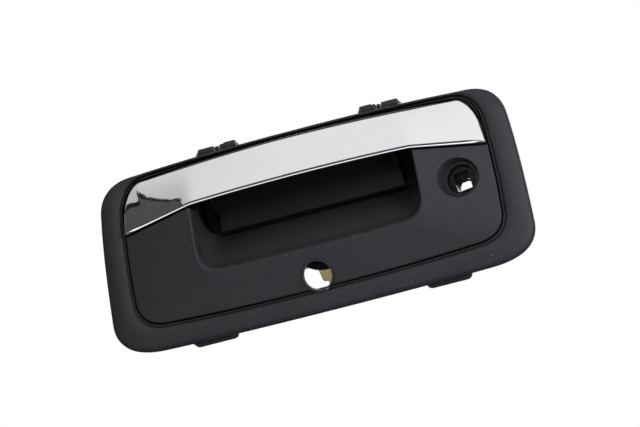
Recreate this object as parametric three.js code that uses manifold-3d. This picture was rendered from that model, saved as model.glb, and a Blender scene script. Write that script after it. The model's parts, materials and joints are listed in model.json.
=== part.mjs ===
// Tailgate handle and bezel for a pickup truck, with an opening for a backup camera and one for a key lock.
// The part is drawn as it sits on a closed tailgate: +X across the truck, +Z up, -Y out towards the hand.
// Sizes are millimetres. Shapes are drawn about the middle of the panel (z = 0) and the whole group is lifted
// so that the origin lies on the bottom rail's mounting face, y = 0.
import * as THREE from "three";
import { mergeVertices } from "three/addons/utils/BufferGeometryUtils.js";
import Module from "manifold-3d";

const wasm = await Module();
wasm.setup();

// ---------------------------------------------------------------- driving dimensions
const SEAT_Z = -79.7; // middle of the bottom rail's mounting face, below the middle of the panel
const RIM_HEIGHT = 11; // crest of the rim in front of the mounting face, at the sides and bottom
const RIM_HEIGHT_TOP = 7; // the same along the top, where the handle swings over it
const PANEL_EDGE_Y = -9.6; // panel surface beside the groove
const PANEL_CREST_Y = -22.5; // panel surface round the hand pocket
const WALL = 2.8; // wall of the moulded housing
const POCKET_BACK_Y = 17;
const PIVOT = { y: 6, z: 84 }; // hinge line of the handle
const ARM_X = 73.6; // middle of each hinge arm
// The camera looks down, at right angles to the panel below the pocket.
const CAMERA = { x: -1.4, y: -13.5, z: -53, hole: 12.4, boss: 14, tilt: 22 };
const LOCK = { x: 136, z: 0, bore: 12.8, tube: 15.2, seat: -8.4, back: 22 };
const CRANK = { x: 0, z: 38, front: 21.5, thick: 2.5, arm: 24, peg: { x: 22, z: 73.2, r: 2.5 } };
const ROTOR_PIN = { radius: 17, swing: 40 }; // eccentric pin of the lock rotor, degrees each side of the top
const STUDS = [[-126, 8], [112, -34], [-104, -44], [112, 44]];
const FRAME_SCREWS = [[-174.6, 26], [174.6, 26], [-176.5, -42], [176.5, -42], [-56, -72], [56, -72]];
const GAP = 0.35; // clearance between separate pieces

// ---------------------------------------------------------------- outlines, seen from the front
// Right half of a closed outline as five curves, from the top centre to the bottom centre, then mirrored.
const STEPS = [6, 6, 4, 6, 5];
function outline(o) {
  const stretches = [
    [[0, o.top], o.topBow, o.topEnd],
    [o.topEnd, o.topCorner, o.sideTop],
    [o.sideTop, o.sideBow, o.sideLow],
    [o.sideLow, o.lowCorner, o.lowEnd],
    [o.lowEnd, o.lowBow, [0, o.low]],
  ];
  const right = stretches.flatMap((points, i) => {
    const [a, b, c] = points.map((p) => new THREE.Vector2(...p));
    return new THREE.QuadraticBezierCurve(a, b, c).getPoints(STEPS[i]).slice(0, -1);
  });
  const bottom = new THREE.Vector2(0, o.low);
  const left = right.slice(1).reverse().map((p) => new THREE.Vector2(-p.x, p.y));
  return [...right, bottom, ...left];
}
const RIM = outline({
  top: 81.8, topBow: [80, 82.2], topEnd: [150, 77.8], topCorner: [179, 78], sideTop: [183.6, 52],
  sideBow: [188.6, 14], sideLow: [189.8, -50], lowCorner: [190, -79.5], lowEnd: [146, -80.6],
  lowBow: [80, -82.4], low: -82.4,
});
const FRAME_INNER = outline({
  top: 78.6, topBow: [76, 79], topEnd: [140, 75.2], topCorner: [161, 74], sideTop: [166.4, 48],
  sideBow: [170.4, 4], sideLow: [169.4, -32], lowCorner: [170.4, -63.4], lowEnd: [138, -63.6],
  lowBow: [80, -66.8], low: -66.8,
});
const GROOVE = outline({
  top: 76.5, topBow: [70, 76.6], topEnd: [138, 72.9], topCorner: [157, 71.6], sideTop: [162, 48],
  sideBow: [166, 4], sideLow: [165, -32], lowCorner: [166, -59], lowEnd: [136, -59.2],
  lowBow: [80, -62.8], low: -62.8,
});
const POCKET = outline({
  top: 62, topBow: [40, 62], topEnd: [84, 62], topCorner: [101, 62], sideTop: [101, 44],
  sideBow: [101.4, 16], sideLow: [101.4, -8], lowCorner: [101.5, -31.5], lowEnd: [76, -30.4],
  lowBow: [40, -31.2], low: -31.2,
});
const POCKET_BACK = outline({
  top: 64, topBow: [40, 64], topEnd: [78, 64], topCorner: [90, 64], sideTop: [90, 52],
  sideBow: [91, 36], sideLow: [91, 22], lowCorner: [91, 10.5], lowEnd: [79, 10.5],
  lowBow: [40, 10.5], low: 10.5,
});

const mixed = (a, b, s) => a.map((p, i) => p.clone().lerp(b[i], s));
// Moves each point of a closed clockwise outline outwards by d.
function grown(points, d) {
  return points.map((p, i) => {
    const before = points[(i + points.length - 1) % points.length];
    const after = points[(i + 1) % points.length];
    const along = after.clone().sub(before).normalize();
    return new THREE.Vector2(p.x - along.y * d, p.y + along.x * d);
  });
}
const smooth = (t) => t * t * (3 - 2 * t);
const ramp = (v, from, to) => smooth(Math.min(1, Math.max(0, (v - from) / (to - from))));

// ---------------------------------------------------------------- handle cover surface
const COVER = { half: 163.2, kink: 99.5, corner: 142, thick: 2.6 };
const coverTop = (x) => {
  const past = Math.max(0, Math.abs(x) - COVER.corner) / (COVER.half + 0.1 - COVER.corner);
  const crown = 75.5 - 6 * (Math.min(Math.abs(x), COVER.corner) / COVER.corner) ** 2;
  return past ? 26 + 43.5 * Math.sqrt(Math.max(0, 1 - past * past)) : crown;
};
const coverBottom = (x) => {
  const out = Math.max(0, Math.abs(x) - COVER.kink);
  return 35.6 - 2.2 * (Math.min(Math.abs(x), COVER.kink) / COVER.kink) ** 2 - 0.132 * out;
};
// Depth of the cover's outer face in front of the mounting face, t from 0 at its top edge to 1 at the bottom.
const coverDepth = (x, t) => {
  const wing = Math.max(0, Math.abs(x) - COVER.kink) / (COVER.half - COVER.kink);
  const top = 12 - wing;
  const bottom = 24.5 - 12 * wing;
  return top + (bottom - top) * (1 - (1 - t) ** 1.7);
};
const COVER_COLUMNS = [0, 25, 50, 75, 92, 99.5, 107, 122, 135, 142, 148, 153, 157, 160, 162, COVER.half];
const coverXs = [...COVER_COLUMNS.slice(1).reverse().map((x) => -x), ...COVER_COLUMNS];
const COVER_OUTLINE = [
  ...coverXs.map((x) => new THREE.Vector2(x, coverTop(x))),
  ...[...coverXs].reverse().map((x) => new THREE.Vector2(x, coverBottom(x))),
];

// ---------------------------------------------------------------- solids
function solid(geometry) {
  const bare = geometry.index ? geometry.toNonIndexed() : geometry.clone();
  bare.deleteAttribute("normal");
  bare.deleteAttribute("uv");
  const merged = mergeVertices(bare, 1e-3);
  const vertProperties = new Float32Array(merged.attributes.position.array);
  const triVerts = new Uint32Array(merged.index.array);
  return new wasm.Manifold(new wasm.Mesh({ numProp: 3, vertProperties, triVerts }));
}
// Joins rings of points into a closed skin. An open run of rings is closed at each end by a fan of triangles.
function skin(rings, { ringClosed = false } = {}) {
  const n = rings[0].length;
  const points = rings.flat();
  const faces = [];
  const spans = ringClosed ? rings.length : rings.length - 1;
  for (let r = 0; r < spans; r++) {
    const a = r * n;
    const b = ((r + 1) % rings.length) * n;
    for (let i = 0; i < n; i++) {
      const j = (i + 1) % n;
      faces.push(a + i, b + j, b + i, a + i, a + j, b + j);
    }
  }
  for (const end of ringClosed ? [] : [0, rings.length - 1]) {
    const middle = rings[end].reduce((sum, p) => sum.add(p), new THREE.Vector3()).divideScalar(n);
    points.push(middle);
    for (let i = 0; i < n; i++) {
      const [a, b] = [end * n + i, end * n + ((i + 1) % n)];
      faces.push(points.length - 1, ...(end ? [a, b] : [b, a]));
    }
  }
  return outward(points, faces);
}
// Makes a solid from points and triangles, turning the triangles over if they all face inwards.
function outward(points, faces) {
  const geometry = new THREE.BufferGeometry().setFromPoints(points).setIndex(faces);
  const made = solid(geometry);
  return made.volume() >= 0 ? made : solid(turned(geometry));
}
function turned(geometry) {
  const index = [...geometry.index.array];
  for (let i = 0; i < index.length; i += 3) [index[i + 1], index[i + 2]] = [index[i + 2], index[i + 1]];
  return geometry.clone().setIndex(index);
}
const ring = (points, y) =>
  points.map((p) => new THREE.Vector3(p.x, typeof y === "function" ? y(p) : y, p.y));
// A solid with this outline seen from the front, from y0 back to y1.
const slab = (points, y0, y1) => skin([ring(points, y0), ring(points, y1)]);
function box(x0, x1, y0, y1, z0, z1) {
  const block = new THREE.BoxGeometry(x1 - x0, y1 - y0, z1 - z0);
  return solid(block.translate((x0 + x1) / 2, (y0 + y1) / 2, (z0 + z1) / 2));
}
// Cylinder or cone along Y at (x, z), with radius r0 at y0 and r1 at y1.
const round = (x, z, y0, y1, r0, r1 = r0, sides = 32) =>
  solid(new THREE.CylinderGeometry(r1, r0, y1 - y0, sides).translate(x, (y0 + y1) / 2, z));
// Tapered flat limb from (x0, z0) to (x1, z1), half as wide as w0 and w1 each side.
function limb(x0, z0, w0, x1, z1, w1, front, back) {
  const from = new THREE.Vector2(x0, z0);
  const to = new THREE.Vector2(x1, z1);
  const side = to.clone().sub(from).normalize().rotateAround(new THREE.Vector2(), Math.PI / 2);
  const corner = (end, w) => end.clone().addScaledVector(side, w);
  return slab([corner(from, w0), corner(to, w1), corner(to, -w1), corner(from, -w0)], front, back);
}
// Cylinder along X at (y, z), from x0 to x1.
function axle(y, z, x0, x1, r, sides = 20) {
  const rod = new THREE.CylinderGeometry(r, r, x1 - x0, sides);
  return solid(rod.rotateZ(Math.PI / 2).translate((x0 + x1) / 2, y, z));
}
// Cylinder about the camera's axis, which is tilted down from -Y. from and to are measured inwards from the
// panel.
const cameraRound = (r, from, to) =>
  solid(
    new THREE.CylinderGeometry(r, r, to - from, 32)
      .translate(0, (from + to) / 2, 0)
      .rotateX(THREE.MathUtils.degToRad(CAMERA.tilt))
      .translate(CAMERA.x, CAMERA.y, CAMERA.z),
  );
// A side-view outline of [y, z] points, as wide as x0 to x1.
function profile(points, x0, x1) {
  const shape = new THREE.Shape(points.map(([y, z]) => new THREE.Vector2(y, z)));
  const geometry = new THREE.ExtrudeGeometry(shape, { depth: x1 - x0, bevelEnabled: false });
  // The shape's x becomes Y, its y becomes Z and its depth becomes X.
  const axes = new THREE.Matrix4().set(0, 0, 1, x0, 1, 0, 0, 0, 0, 1, 0, 0, 0, 0, 0, 1);
  return solid(geometry.applyMatrix4(axes));
}
const joined = (...parts) => parts.reduce((a, b) => a.add(b));
const cut = (body, ...tools) => tools.reduce((a, b) => a.subtract(b), body);

// ---------------------------------------------------------------- materials
const finish = (color, roughness, metalness = 0) =>
  new THREE.MeshStandardMaterial({ color, roughness, metalness });
const MATERIALS = {
  texturedBlack: finish(0x29282b, 0.6),
  smoothBlack: finish(0x161517, 0.4),
  chrome: finish(0xe4e6ea, 0.06, 1),
  steel: finish(0x9b9da1, 0.35, 1),
  zincYellow: finish(0xb79a55, 0.4, 0.8),
  naturalNylon: finish(0xcbb683, 0.45),
  rubber: finish(0x121212, 0.85),
};

const group = new THREE.Group();
group.position.z = -SEAT_Z;
function add(name, manifold, material) {
  const { numProp, vertProperties, triVerts } = manifold.getMesh();
  if (numProp !== 3) throw new Error(name + " carries extra vertex properties");
  const geometry = new THREE.BufferGeometry();
  geometry.setAttribute("position", new THREE.Float32BufferAttribute(vertProperties, 3));
  geometry.setIndex(new THREE.Uint32BufferAttribute(triVerts, 1));
  geometry.computeVertexNormals();
  const mesh = new THREE.Mesh(geometry, material);
  mesh.name = name;
  group.add(mesh);
}

// ---------------------------------------------------------------- bezel frame
const crest = (p) => RIM_HEIGHT - (RIM_HEIGHT - RIM_HEIGHT_TOP) * ramp(p.y, 52, 76);
// Section from the outer rear edge over the crest to the bead beside the groove, then back underneath.
const FRAME_SECTION = [
  [RIM, FRAME_INNER, 0, () => 0],
  [RIM, FRAME_INNER, 0.01, (p) => -0.55 * crest(p)],
  [RIM, FRAME_INNER, 0.1, (p) => -0.74 * crest(p)],
  [RIM, FRAME_INNER, 0.4, (p) => -0.93 * crest(p)],
  [RIM, FRAME_INNER, 0.74, (p) => -crest(p)],
  [FRAME_INNER, GROOVE, 0, (p) => -crest(p) + 1.2],
  [FRAME_INNER, GROOVE, 0.34, (p) => -crest(p) + 3.4],
  [FRAME_INNER, GROOVE, 0.5, (p) => -crest(p) + 2.2],
  [FRAME_INNER, GROOVE, 0.72, (p) => -crest(p) + 2.5],
  [FRAME_INNER, GROOVE, 0.84, () => -1.5],
  [FRAME_INNER, GROOVE, 0.2, () => -1.5],
  [RIM, FRAME_INNER, 0.86, (p) => -crest(p) + 3.4],
  [RIM, FRAME_INNER, 0.46, (p) => -crest(p) + 4.2],
  [RIM, FRAME_INNER, 0.34, () => 0],
];
const NOTCH_HALF = 3.1; // half the width of the slots that the hinge arms pass through
const LEVER = { x0: 19, x1: 41, low: 77.3, high: 80.3, back: 33 };
// Slots for both hinge arms and the crank lever, cut from y0 to y1.
const armSlots = (y0, y1, z0, z1) => [
  box(-ARM_X - NOTCH_HALF, -ARM_X + NOTCH_HALF, y0, y1, z0, z1),
  box(ARM_X - NOTCH_HALF, ARM_X + NOTCH_HALF, y0, y1, z0, z1),
  box(LEVER.x0 - 1.6, LEVER.x1 + 1.6, y0, y1, z0, z1),
];
const HOOK = { x0: 85, x1: 125.5, y0: 3, y1: 13, top: -70, low: -81.6 };
function lowerHook(side) {
  const [left, right] = [HOOK.x0, HOOK.x1].map((x) => side * x).sort((a, b) => a - b);
  const lobe = [[left, HOOK.top], [right, HOOK.top], [right, HOOK.low + 5], [right - 4, HOOK.low + 1.6],
    [right - 12, HOOK.low], [left + 12, HOOK.low], [left + 4, HOOK.low + 1.6], [left, HOOK.low + 5]];
  const web = box(left + 5, right - 5, -2.6, HOOK.y0 + 1, HOOK.top - 5.4, HOOK.top);
  return joined(slab(lobe.map((p) => new THREE.Vector2(...p)).reverse(), HOOK.y0, HOOK.y1), web);
}
let frame = skin(FRAME_SECTION.map(([a, b, s, y]) => ring(mixed(a, b, s), y)), { ringClosed: true });
frame = joined(frame, lowerHook(-1), lowerHook(1));
frame = cut(frame, cameraRound(CAMERA.boss + GAP, -20, 8), ...armSlots(-2.6, 1, 74, 83));
// Posts inside the rim that take the screws from the housing.
for (const [x, z] of FRAME_SCREWS) {
  const post = round(x, z, -8.6, -1.45, 3.4, 3.4, 16);
  frame = joined(frame, cut(post, round(x, z, -7, -1, 1.7, 1.7, 10)));
}

// ---------------------------------------------------------------- handle housing
// Solid behind the panel's surface, set back by the distance given.
const panelBlock = (setBack) =>
  skin([
    ring(GROOVE, 2),
    ring(GROOVE, PANEL_EDGE_Y + 0.8 + setBack),
    ring(mixed(GROOVE, POCKET, 0.012), PANEL_EDGE_Y + setBack),
    ring(mixed(GROOVE, POCKET, 0.97), PANEL_CREST_Y + 0.4 + setBack),
    ring(mixed(GROOVE, POCKET, 1.02), PANEL_CREST_Y + setBack),
  ]);
const plinth = panelBlock(0);
const hollow = skin([
  ring(mixed(GROOVE, POCKET, 0.045), 3),
  ring(mixed(GROOVE, POCKET, 0.045), PANEL_EDGE_Y + WALL),
  ring(POCKET, PANEL_CREST_Y + WALL),
]);
// Section of the pocket's wall: share of the way from its front outline to its back one, and depth.
const POCKET_STEPS = [
  [0, -26],
  [0.03, PANEL_CREST_Y],
  [0.09, -20],
  [0.2, -13],
  [0.42, -5.5],
  [0.7, 3.4],
  [1, 12],
  [1, POCKET_BACK_Y],
];
const pocketRing = (share, y, extra) => ring(grown(mixed(POCKET, POCKET_BACK, share), extra), y);
const pocketTool = skin(POCKET_STEPS.map(([share, y]) => pocketRing(share, y, 0)));
const pocketShell = skin(POCKET_STEPS.slice(1).map(([share, y]) => pocketRing(share, y + WALL, WALL)));
// Side view of the space that the handle swings in. Its lower front edge slopes, and shows at both ends of the
// pocket.
const CAVITY = { half: 97.4, front: [[-24, 37.6], [7.4, 13.2]], top: 64 };
function cavity(extra) {
  const [[y0, z0], [y1, z1]] = CAVITY.front;
  const back = POCKET_BACK_Y + extra;
  const drop = 1.2 * extra;
  const side = [
    [y0, z0 - drop],
    [y1, z1 - extra],
    [back, z1 - extra],
    [back, CAVITY.top + extra],
    [-13, CAVITY.top + extra],
    [y0, 52],
  ];
  return profile(side, -CAVITY.half - extra, CAVITY.half + extra);
}
const recessFloor = { front: -5.6, back: -2.8 };
const recess = (extra, y1) => slab(grown(COVER_OUTLINE, extra), -60, y1);

// Everything behind the panel's surface, so that bosses end inside its wall.
const behindPanel = joined(panelBlock(1.2), box(-190, 190, 1.9, 60, -90, 90));

let housing = cut(plinth, hollow);
housing = joined(
  housing,
  slab(mixed(GROOVE, FRAME_INNER, 1.25), -1.1, 1.4).subtract(slab(mixed(GROOVE, POCKET, 0.045), -2, 2)),
  plinth.intersect(recess(4, recessFloor.back)),
  pocketShell,
  cavity(WALL).intersect(behindPanel),
  cameraRound(CAMERA.boss, -0.9, 3),
  round(LOCK.x, LOCK.z, -25, -7, 24, 17, 40).intersect(behindPanel),
  round(LOCK.x, LOCK.z, -8, LOCK.back, LOCK.tube),
  round(CRANK.x, CRANK.z, POCKET_BACK_Y, CRANK.front - GAP, 9, 9, 24),
);
// Ears that carry the screws into the frame.
for (const [x, z] of FRAME_SCREWS) {
  const inward = Math.abs(x) > 100 ? [x - Math.sign(x) * 14, z] : [x, z + 10];
  const ear = joined(round(x, z, -1.1, 1.4, 4.4, 4.4, 16), limb(x, z, 4.4, ...inward, 6, -1.1, 1.4));
  housing = joined(housing, cut(ear, slab(mixed(GROOVE, POCKET, 0.045), -2, 2)));
}
// Hinge knuckles: two barrels each side, on webs that rise behind the frame's top rail.
const KNUCKLES = [[57, 71.75], [75.45, 90.5]];
const KNUCKLE_WEB = [
  [-3.4, 60], [9, 60], [9, 78], [PIVOT.y + 4.6, PIVOT.z],
  [PIVOT.y - 4.4, PIVOT.z], [1.2, 80], [1.2, 74], [-3.4, 72],
];
for (const side of [-1, 1]) {
  for (const span of KNUCKLES) {
    const [x0, x1] = span.map((x) => side * x).sort((a, b) => a - b);
    housing = joined(housing, axle(PIVOT.y, PIVOT.z, x0, x1, 5.2), profile(KNUCKLE_WEB, x0, x1));
  }
  const [c0, c1] = [57, 67].map((x) => side * x).sort((a, b) => a - b);
  housing = joined(housing, axle(PIVOT.y, PIVOT.z, c0, c1, 6));
}
// Guides for the lock slider, on the back of the pocket.
const SLIDER = { x0: 26, y0: 26, y1: 28.4, z0: 10, z1: 24 };
for (const x of [58, 82]) {
  const foot = box(x - 4, x + 4, POCKET_BACK_Y, SLIDER.y1 + 2.6, SLIDER.z0 - 3, SLIDER.z1 + 3);
  const window = box(x - 5, x + 5, SLIDER.y0 - GAP, SLIDER.y1 + GAP, SLIDER.z0 - GAP, SLIDER.z1 + GAP);
  housing = joined(housing, cut(foot, window));
}
// Bosses for the mounting studs, the frame screws and the camera bracket.
const STUD_SEAT_Y = 6;
for (const [x, z] of STUDS) {
  housing = joined(housing, round(x, z, -25, STUD_SEAT_Y, 8.5, 8.5, 20).intersect(behindPanel));
}
const BRACKET_SCREWS = [-24, 24];
const BRACKET_Z = -34.6;
for (const x of BRACKET_SCREWS) {
  housing = joined(housing, round(x, BRACKET_Z, -22, 5.6, 4.6, 4.6, 16).intersect(behindPanel));
}
// Rib under the pocket, with a rounded lower edge that shows through the camera opening.
const brow = new THREE.Shape().absarc(5, -17, 28.8, Math.PI * 1.25, Math.PI * 1.75).getPoints(10);
const rib = cut(
  joined(slab(brow.reverse(), -2.4, 0.6), box(-15.3, 25.3, -2.4, 0.6, -37.6, 0)),
  box(-10, 15, -3, 1, -38.2, -27),
);
housing = joined(housing, rib);

housing = cut(
  housing,
  recess(1.6, recessFloor.front),
  pocketTool,
  cavity(0),
  cameraRound(CAMERA.hole, -20, 6),
  box(CAMERA.x - 15, CAMERA.x + 15, -1.3, 1.6, -70, -58),
  round(LOCK.x, LOCK.z, -24, LOCK.seat, 20.6, 15.2, 40),
  round(LOCK.x, LOCK.z, LOCK.seat - 1, LOCK.back + 1, LOCK.bore),
  ...armSlots(-7, 12, 54, 80),
  box(-ARM_X - NOTCH_HALF, -ARM_X + NOTCH_HALF, -7, 14, 74, 92),
  box(ARM_X - NOTCH_HALF, ARM_X + NOTCH_HALF, -7, 14, 74, 92),
  axle(PIVOT.y, PIVOT.z, -95, -50, 2.25, 16),
  axle(PIVOT.y, PIVOT.z, 50, 95, 2.25, 16),
  round(CRANK.x, CRANK.z, POCKET_BACK_Y - 1, CRANK.front + 1, 2.6, 2.6, 16),
);
// Ribs on the roof of the lock tube.
for (const y of [2, 6, 10]) {
  const arc = cut(
    round(LOCK.x, LOCK.z, y, y + 1.5, LOCK.bore + 0.6),
    round(LOCK.x, LOCK.z, y - 1, y + 3, LOCK.bore - 1.6),
  );
  housing = joined(housing, arc.intersect(box(LOCK.x - 9, LOCK.x + 9, 0, 20, LOCK.z + 4, LOCK.z + 20)));
}
const CLIP_SLOT = { y0: 15.6, y1: 17.2 };
housing = cut(housing, box(LOCK.x - 20, LOCK.x + 20, CLIP_SLOT.y0 - GAP, CLIP_SLOT.y1 + GAP, 6, 24));

// ---------------------------------------------------------------- handle cover
const COVER_ROWS = [0, 0.06, 0.2, 0.38, 0.58, 0.78, 0.93, 1];
const ROLLED_EDGE = 1.1; // how far the outer face turns in along its top and bottom edges
// Rows of points over the cover, set back from its outer face by one distance along the top edge, another
// over the middle and a third along the bottom edge.
function coverGrid(topBack, back, bottomBack) {
  return coverXs.map((x) =>
    COVER_ROWS.map((t) => {
      const setBack = t === 0 ? topBack : t === 1 ? bottomBack : back;
      const z = coverTop(x) + (coverBottom(x) - coverTop(x)) * t;
      return new THREE.Vector3(x, -coverDepth(x, t) + setBack, z);
    }),
  );
}
// The cover is a strip of section rings: down the outer face and back up the inner one, closed at both ends.
// Its top edge is thinner, to clear the panel as the handle swings.
function coverSolid(thick) {
  const outer = coverGrid(ROLLED_EDGE, 0, ROLLED_EDGE);
  const inner = coverGrid(thick - 0.8, thick, thick);
  const sections = coverXs.map((_, i) => [...outer[i], ...inner[i].reverse()]);
  const n = sections[0].length;
  const faces = [];
  for (let s = 0; s < sections.length - 1; s++) {
    for (let i = 0; i < n; i++) {
      const [a, b, c, d] = [s * n + i, s * n + ((i + 1) % n), (s + 1) * n + i, (s + 1) * n + ((i + 1) % n)];
      faces.push(a, c, b, b, c, d);
    }
  }
  const far = (sections.length - 1) * n;
  for (let i = 0; i < COVER_ROWS.length - 1; i++) {
    const [a, b, c, d] = [i, i + 1, n - 1 - i, n - 2 - i];
    faces.push(a, b, c, b, d, c, far + a, far + c, far + b, far + b, far + c, far + d);
  }
  return outward(sections.flat(), faces);
}
const COVER_SCREWS = [[-66, 45], [-24, 45], [24, 45], [66, 45]];
let cover = coverSolid(COVER.thick);
for (const [x, z] of COVER_SCREWS) {
  const boss = round(x, z, -22, -15.5, 3, 3, 12);
  cover = joined(cover, cut(boss, round(x, z, -19.6, -15, 1.7, 1.7, 10)));
}

// ---------------------------------------------------------------- handle core
// Side view of the finger channel: plate behind the cover, top web, and the rear wall with its ridge.
const CORE_HALF = 83.2;
const channel = [
  [-12, 71.4], [-16, 64], [-19, 55], [-21.4, 45.4], [-22, 38.4],
  [-18, 38.4], [-16.4, 46], [-14, 52], [-11, 54.8],
  [2.4, 54.8], [4, 24.6], [8.4, 12.4],
  [11, 13], [6.8, 25.4], [5.2, 58.2], [-7, 58.2], [-7.6, 71.4],
];
const cheek = [
  [-16, 62], [-19, 55], [-21.4, 45.4], [-22, 38.4], [-18, 38.4],
  [-8, 30], [4, 24.6], [6.8, 25.4], [5.2, 58.2], [-7, 58.2],
];
// Hinge arm, with a round eye on the hinge line.
const arm = [
  [3.2, 55], [7.6, 55], [9.6, 76], [PIVOT.y + 4.2, PIVOT.z - 2], [PIVOT.y + 4.2, PIVOT.z + 2],
  [PIVOT.y + 2, PIVOT.z + 4.4], [PIVOT.y - 2, PIVOT.z + 4.4], [PIVOT.y - 4.2, PIVOT.z + 2],
  [PIVOT.y - 4.2, PIVOT.z - 2], [3.2, 77],
];
let core = profile(channel, -CORE_HALF, CORE_HALF);
for (const side of [-1, 1]) {
  const [x0, x1] = [side * (CORE_HALF - 2.4), side * CORE_HALF].sort((a, b) => a - b);
  core = joined(core, profile(cheek, x0, x1), profile(arm, side * ARM_X - 1.5, side * ARM_X + 1.5));
}
const lever = [
  [3.2, 55], [6.6, 55], [7.6, LEVER.low - 3], [10, LEVER.low],
  [LEVER.back, LEVER.low], [LEVER.back, LEVER.high], [4.2, LEVER.high], [3.2, LEVER.high - 1],
];
core = joined(core, profile(lever, LEVER.x0, LEVER.x1));
core = cut(core, coverSolid(COVER.thick + GAP), axle(PIVOT.y, PIVOT.z, -80, 80, 2.25, 16));
for (const [x, z] of COVER_SCREWS) core = cut(core, round(x, z, -24, -12, 3 + GAP, 3 + GAP, 12));

// ---------------------------------------------------------------- crank, lock and camera parts
const disc = (x, z, r, sides = 24) => {
  const circle = new THREE.Shape().absarc(x, z, r, 0, 2 * Math.PI);
  return circle.getPoints(sides).slice(0, -1).reverse();
};
const crankBack = CRANK.front + CRANK.thick;
function crankPlate() {
  const { x, z, arm: reach, peg } = CRANK;
  const plate = joined(
    slab(disc(x, z, 11), CRANK.front, crankBack),
    slab(disc(x, z + reach, 6.4), CRANK.front, crankBack),
    slab(disc(x, z - reach, 6.4), CRANK.front, crankBack),
    limb(x, z, 9, x, z + reach, 5.6, CRANK.front, crankBack),
    limb(x, z, 9, x, z - reach, 5.6, CRANK.front, crankBack),
    limb(x + 5, z + 6, 6, peg.x, peg.z, 3.3, CRANK.front, crankBack),
    slab(disc(peg.x, peg.z, 3.4, 16), CRANK.front, crankBack),
    round(peg.x, peg.z, CRANK.front, 31, peg.r, peg.r, 16),
  );
  return cut(
    plate,
    round(x, z, 20, 26, 3.6, 3.6, 20),
    round(x, z + reach, 20, 26, 3.2, 3.2, 16),
    round(x, z - reach, 20, 26, 3.2, 3.2, 16),
  );
}
// Plastic clip that holds a latch rod: barrel through the plate, flange each side, and a rod hole.
const rodClip = (z) =>
  cut(
    joined(
      round(0, z, 20.3, 29, 2.8, 2.8, 16),
      round(0, z, crankBack + GAP, crankBack + 2, 5, 4.4, 16),
      round(0, z, 27, 30.5, 4, 3.4, 16),
    ),
    round(0, z, 24, 32, 1.6, 1.6, 12),
  );
// Shoulder screw: threaded end in the housing boss, shoulder through the crank, hexagonal head.
const SPRING = { radius: 6.6, wire: 0.75, turns: 3, y0: crankBack + 1.3, pitch: 1.85 };
const springBack = SPRING.y0 + SPRING.turns * SPRING.pitch + SPRING.wire;
const washerFront = springBack + 0.4;
const pivotScrew = joined(
  round(CRANK.x, CRANK.z, POCKET_BACK_Y + 1, CRANK.front, 2.2, 2.2, 16),
  round(CRANK.x, CRANK.z, CRANK.front - 0.1, washerFront + 2, 3.2, 3.2, 20),
  round(CRANK.x, CRANK.z, washerFront + 1.7, washerFront + 5.4, 6.4, 6.4, 6),
);
const crankWasher = cut(
  round(CRANK.x, CRANK.z, washerFront, washerFront + 1.3, 9.4, 9.4, 24),
  round(CRANK.x, CRANK.z, 20, 40, 3.6, 3.6, 20),
);
// A round wire along a list of points.
function wire(points, r, steps, sides = 8) {
  const path = new THREE.CatmullRomCurve3(points.map((p) => new THREE.Vector3(...p)), false, "centripetal");
  const section = new THREE.Shape().absarc(0, 0, r, 0, 2 * Math.PI);
  const shape = new THREE.Shape(section.getPoints(sides).slice(0, -1));
  return solid(new THREE.ExtrudeGeometry(shape, { steps, bevelEnabled: false, extrudePath: path }));
}
function crankSpring() {
  const points = [[-26, SPRING.y0, CRANK.z - 4], [-14, SPRING.y0, CRANK.z - 6]];
  const perTurn = 10;
  for (let i = 0; i <= SPRING.turns * perTurn; i++) {
    const angle = -Math.PI / 2 + (i / perTurn) * 2 * Math.PI;
    const y = SPRING.y0 + (i / perTurn) * SPRING.pitch;
    points.push([CRANK.x + SPRING.radius * Math.cos(angle), y, CRANK.z + SPRING.radius * Math.sin(angle)]);
  }
  const y = SPRING.y0 + SPRING.turns * SPRING.pitch;
  points.push([12, y, CRANK.z - 4], [19, y, CRANK.z + 8]);
  return wire(points, SPRING.wire, 64, 5);
}
// Post on the housing that holds the spring's fixed leg.
housing = joined(housing, round(-29, CRANK.z - 4, POCKET_BACK_Y, SPRING.y0 + 4, 2.4, 2.4, 12));

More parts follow.
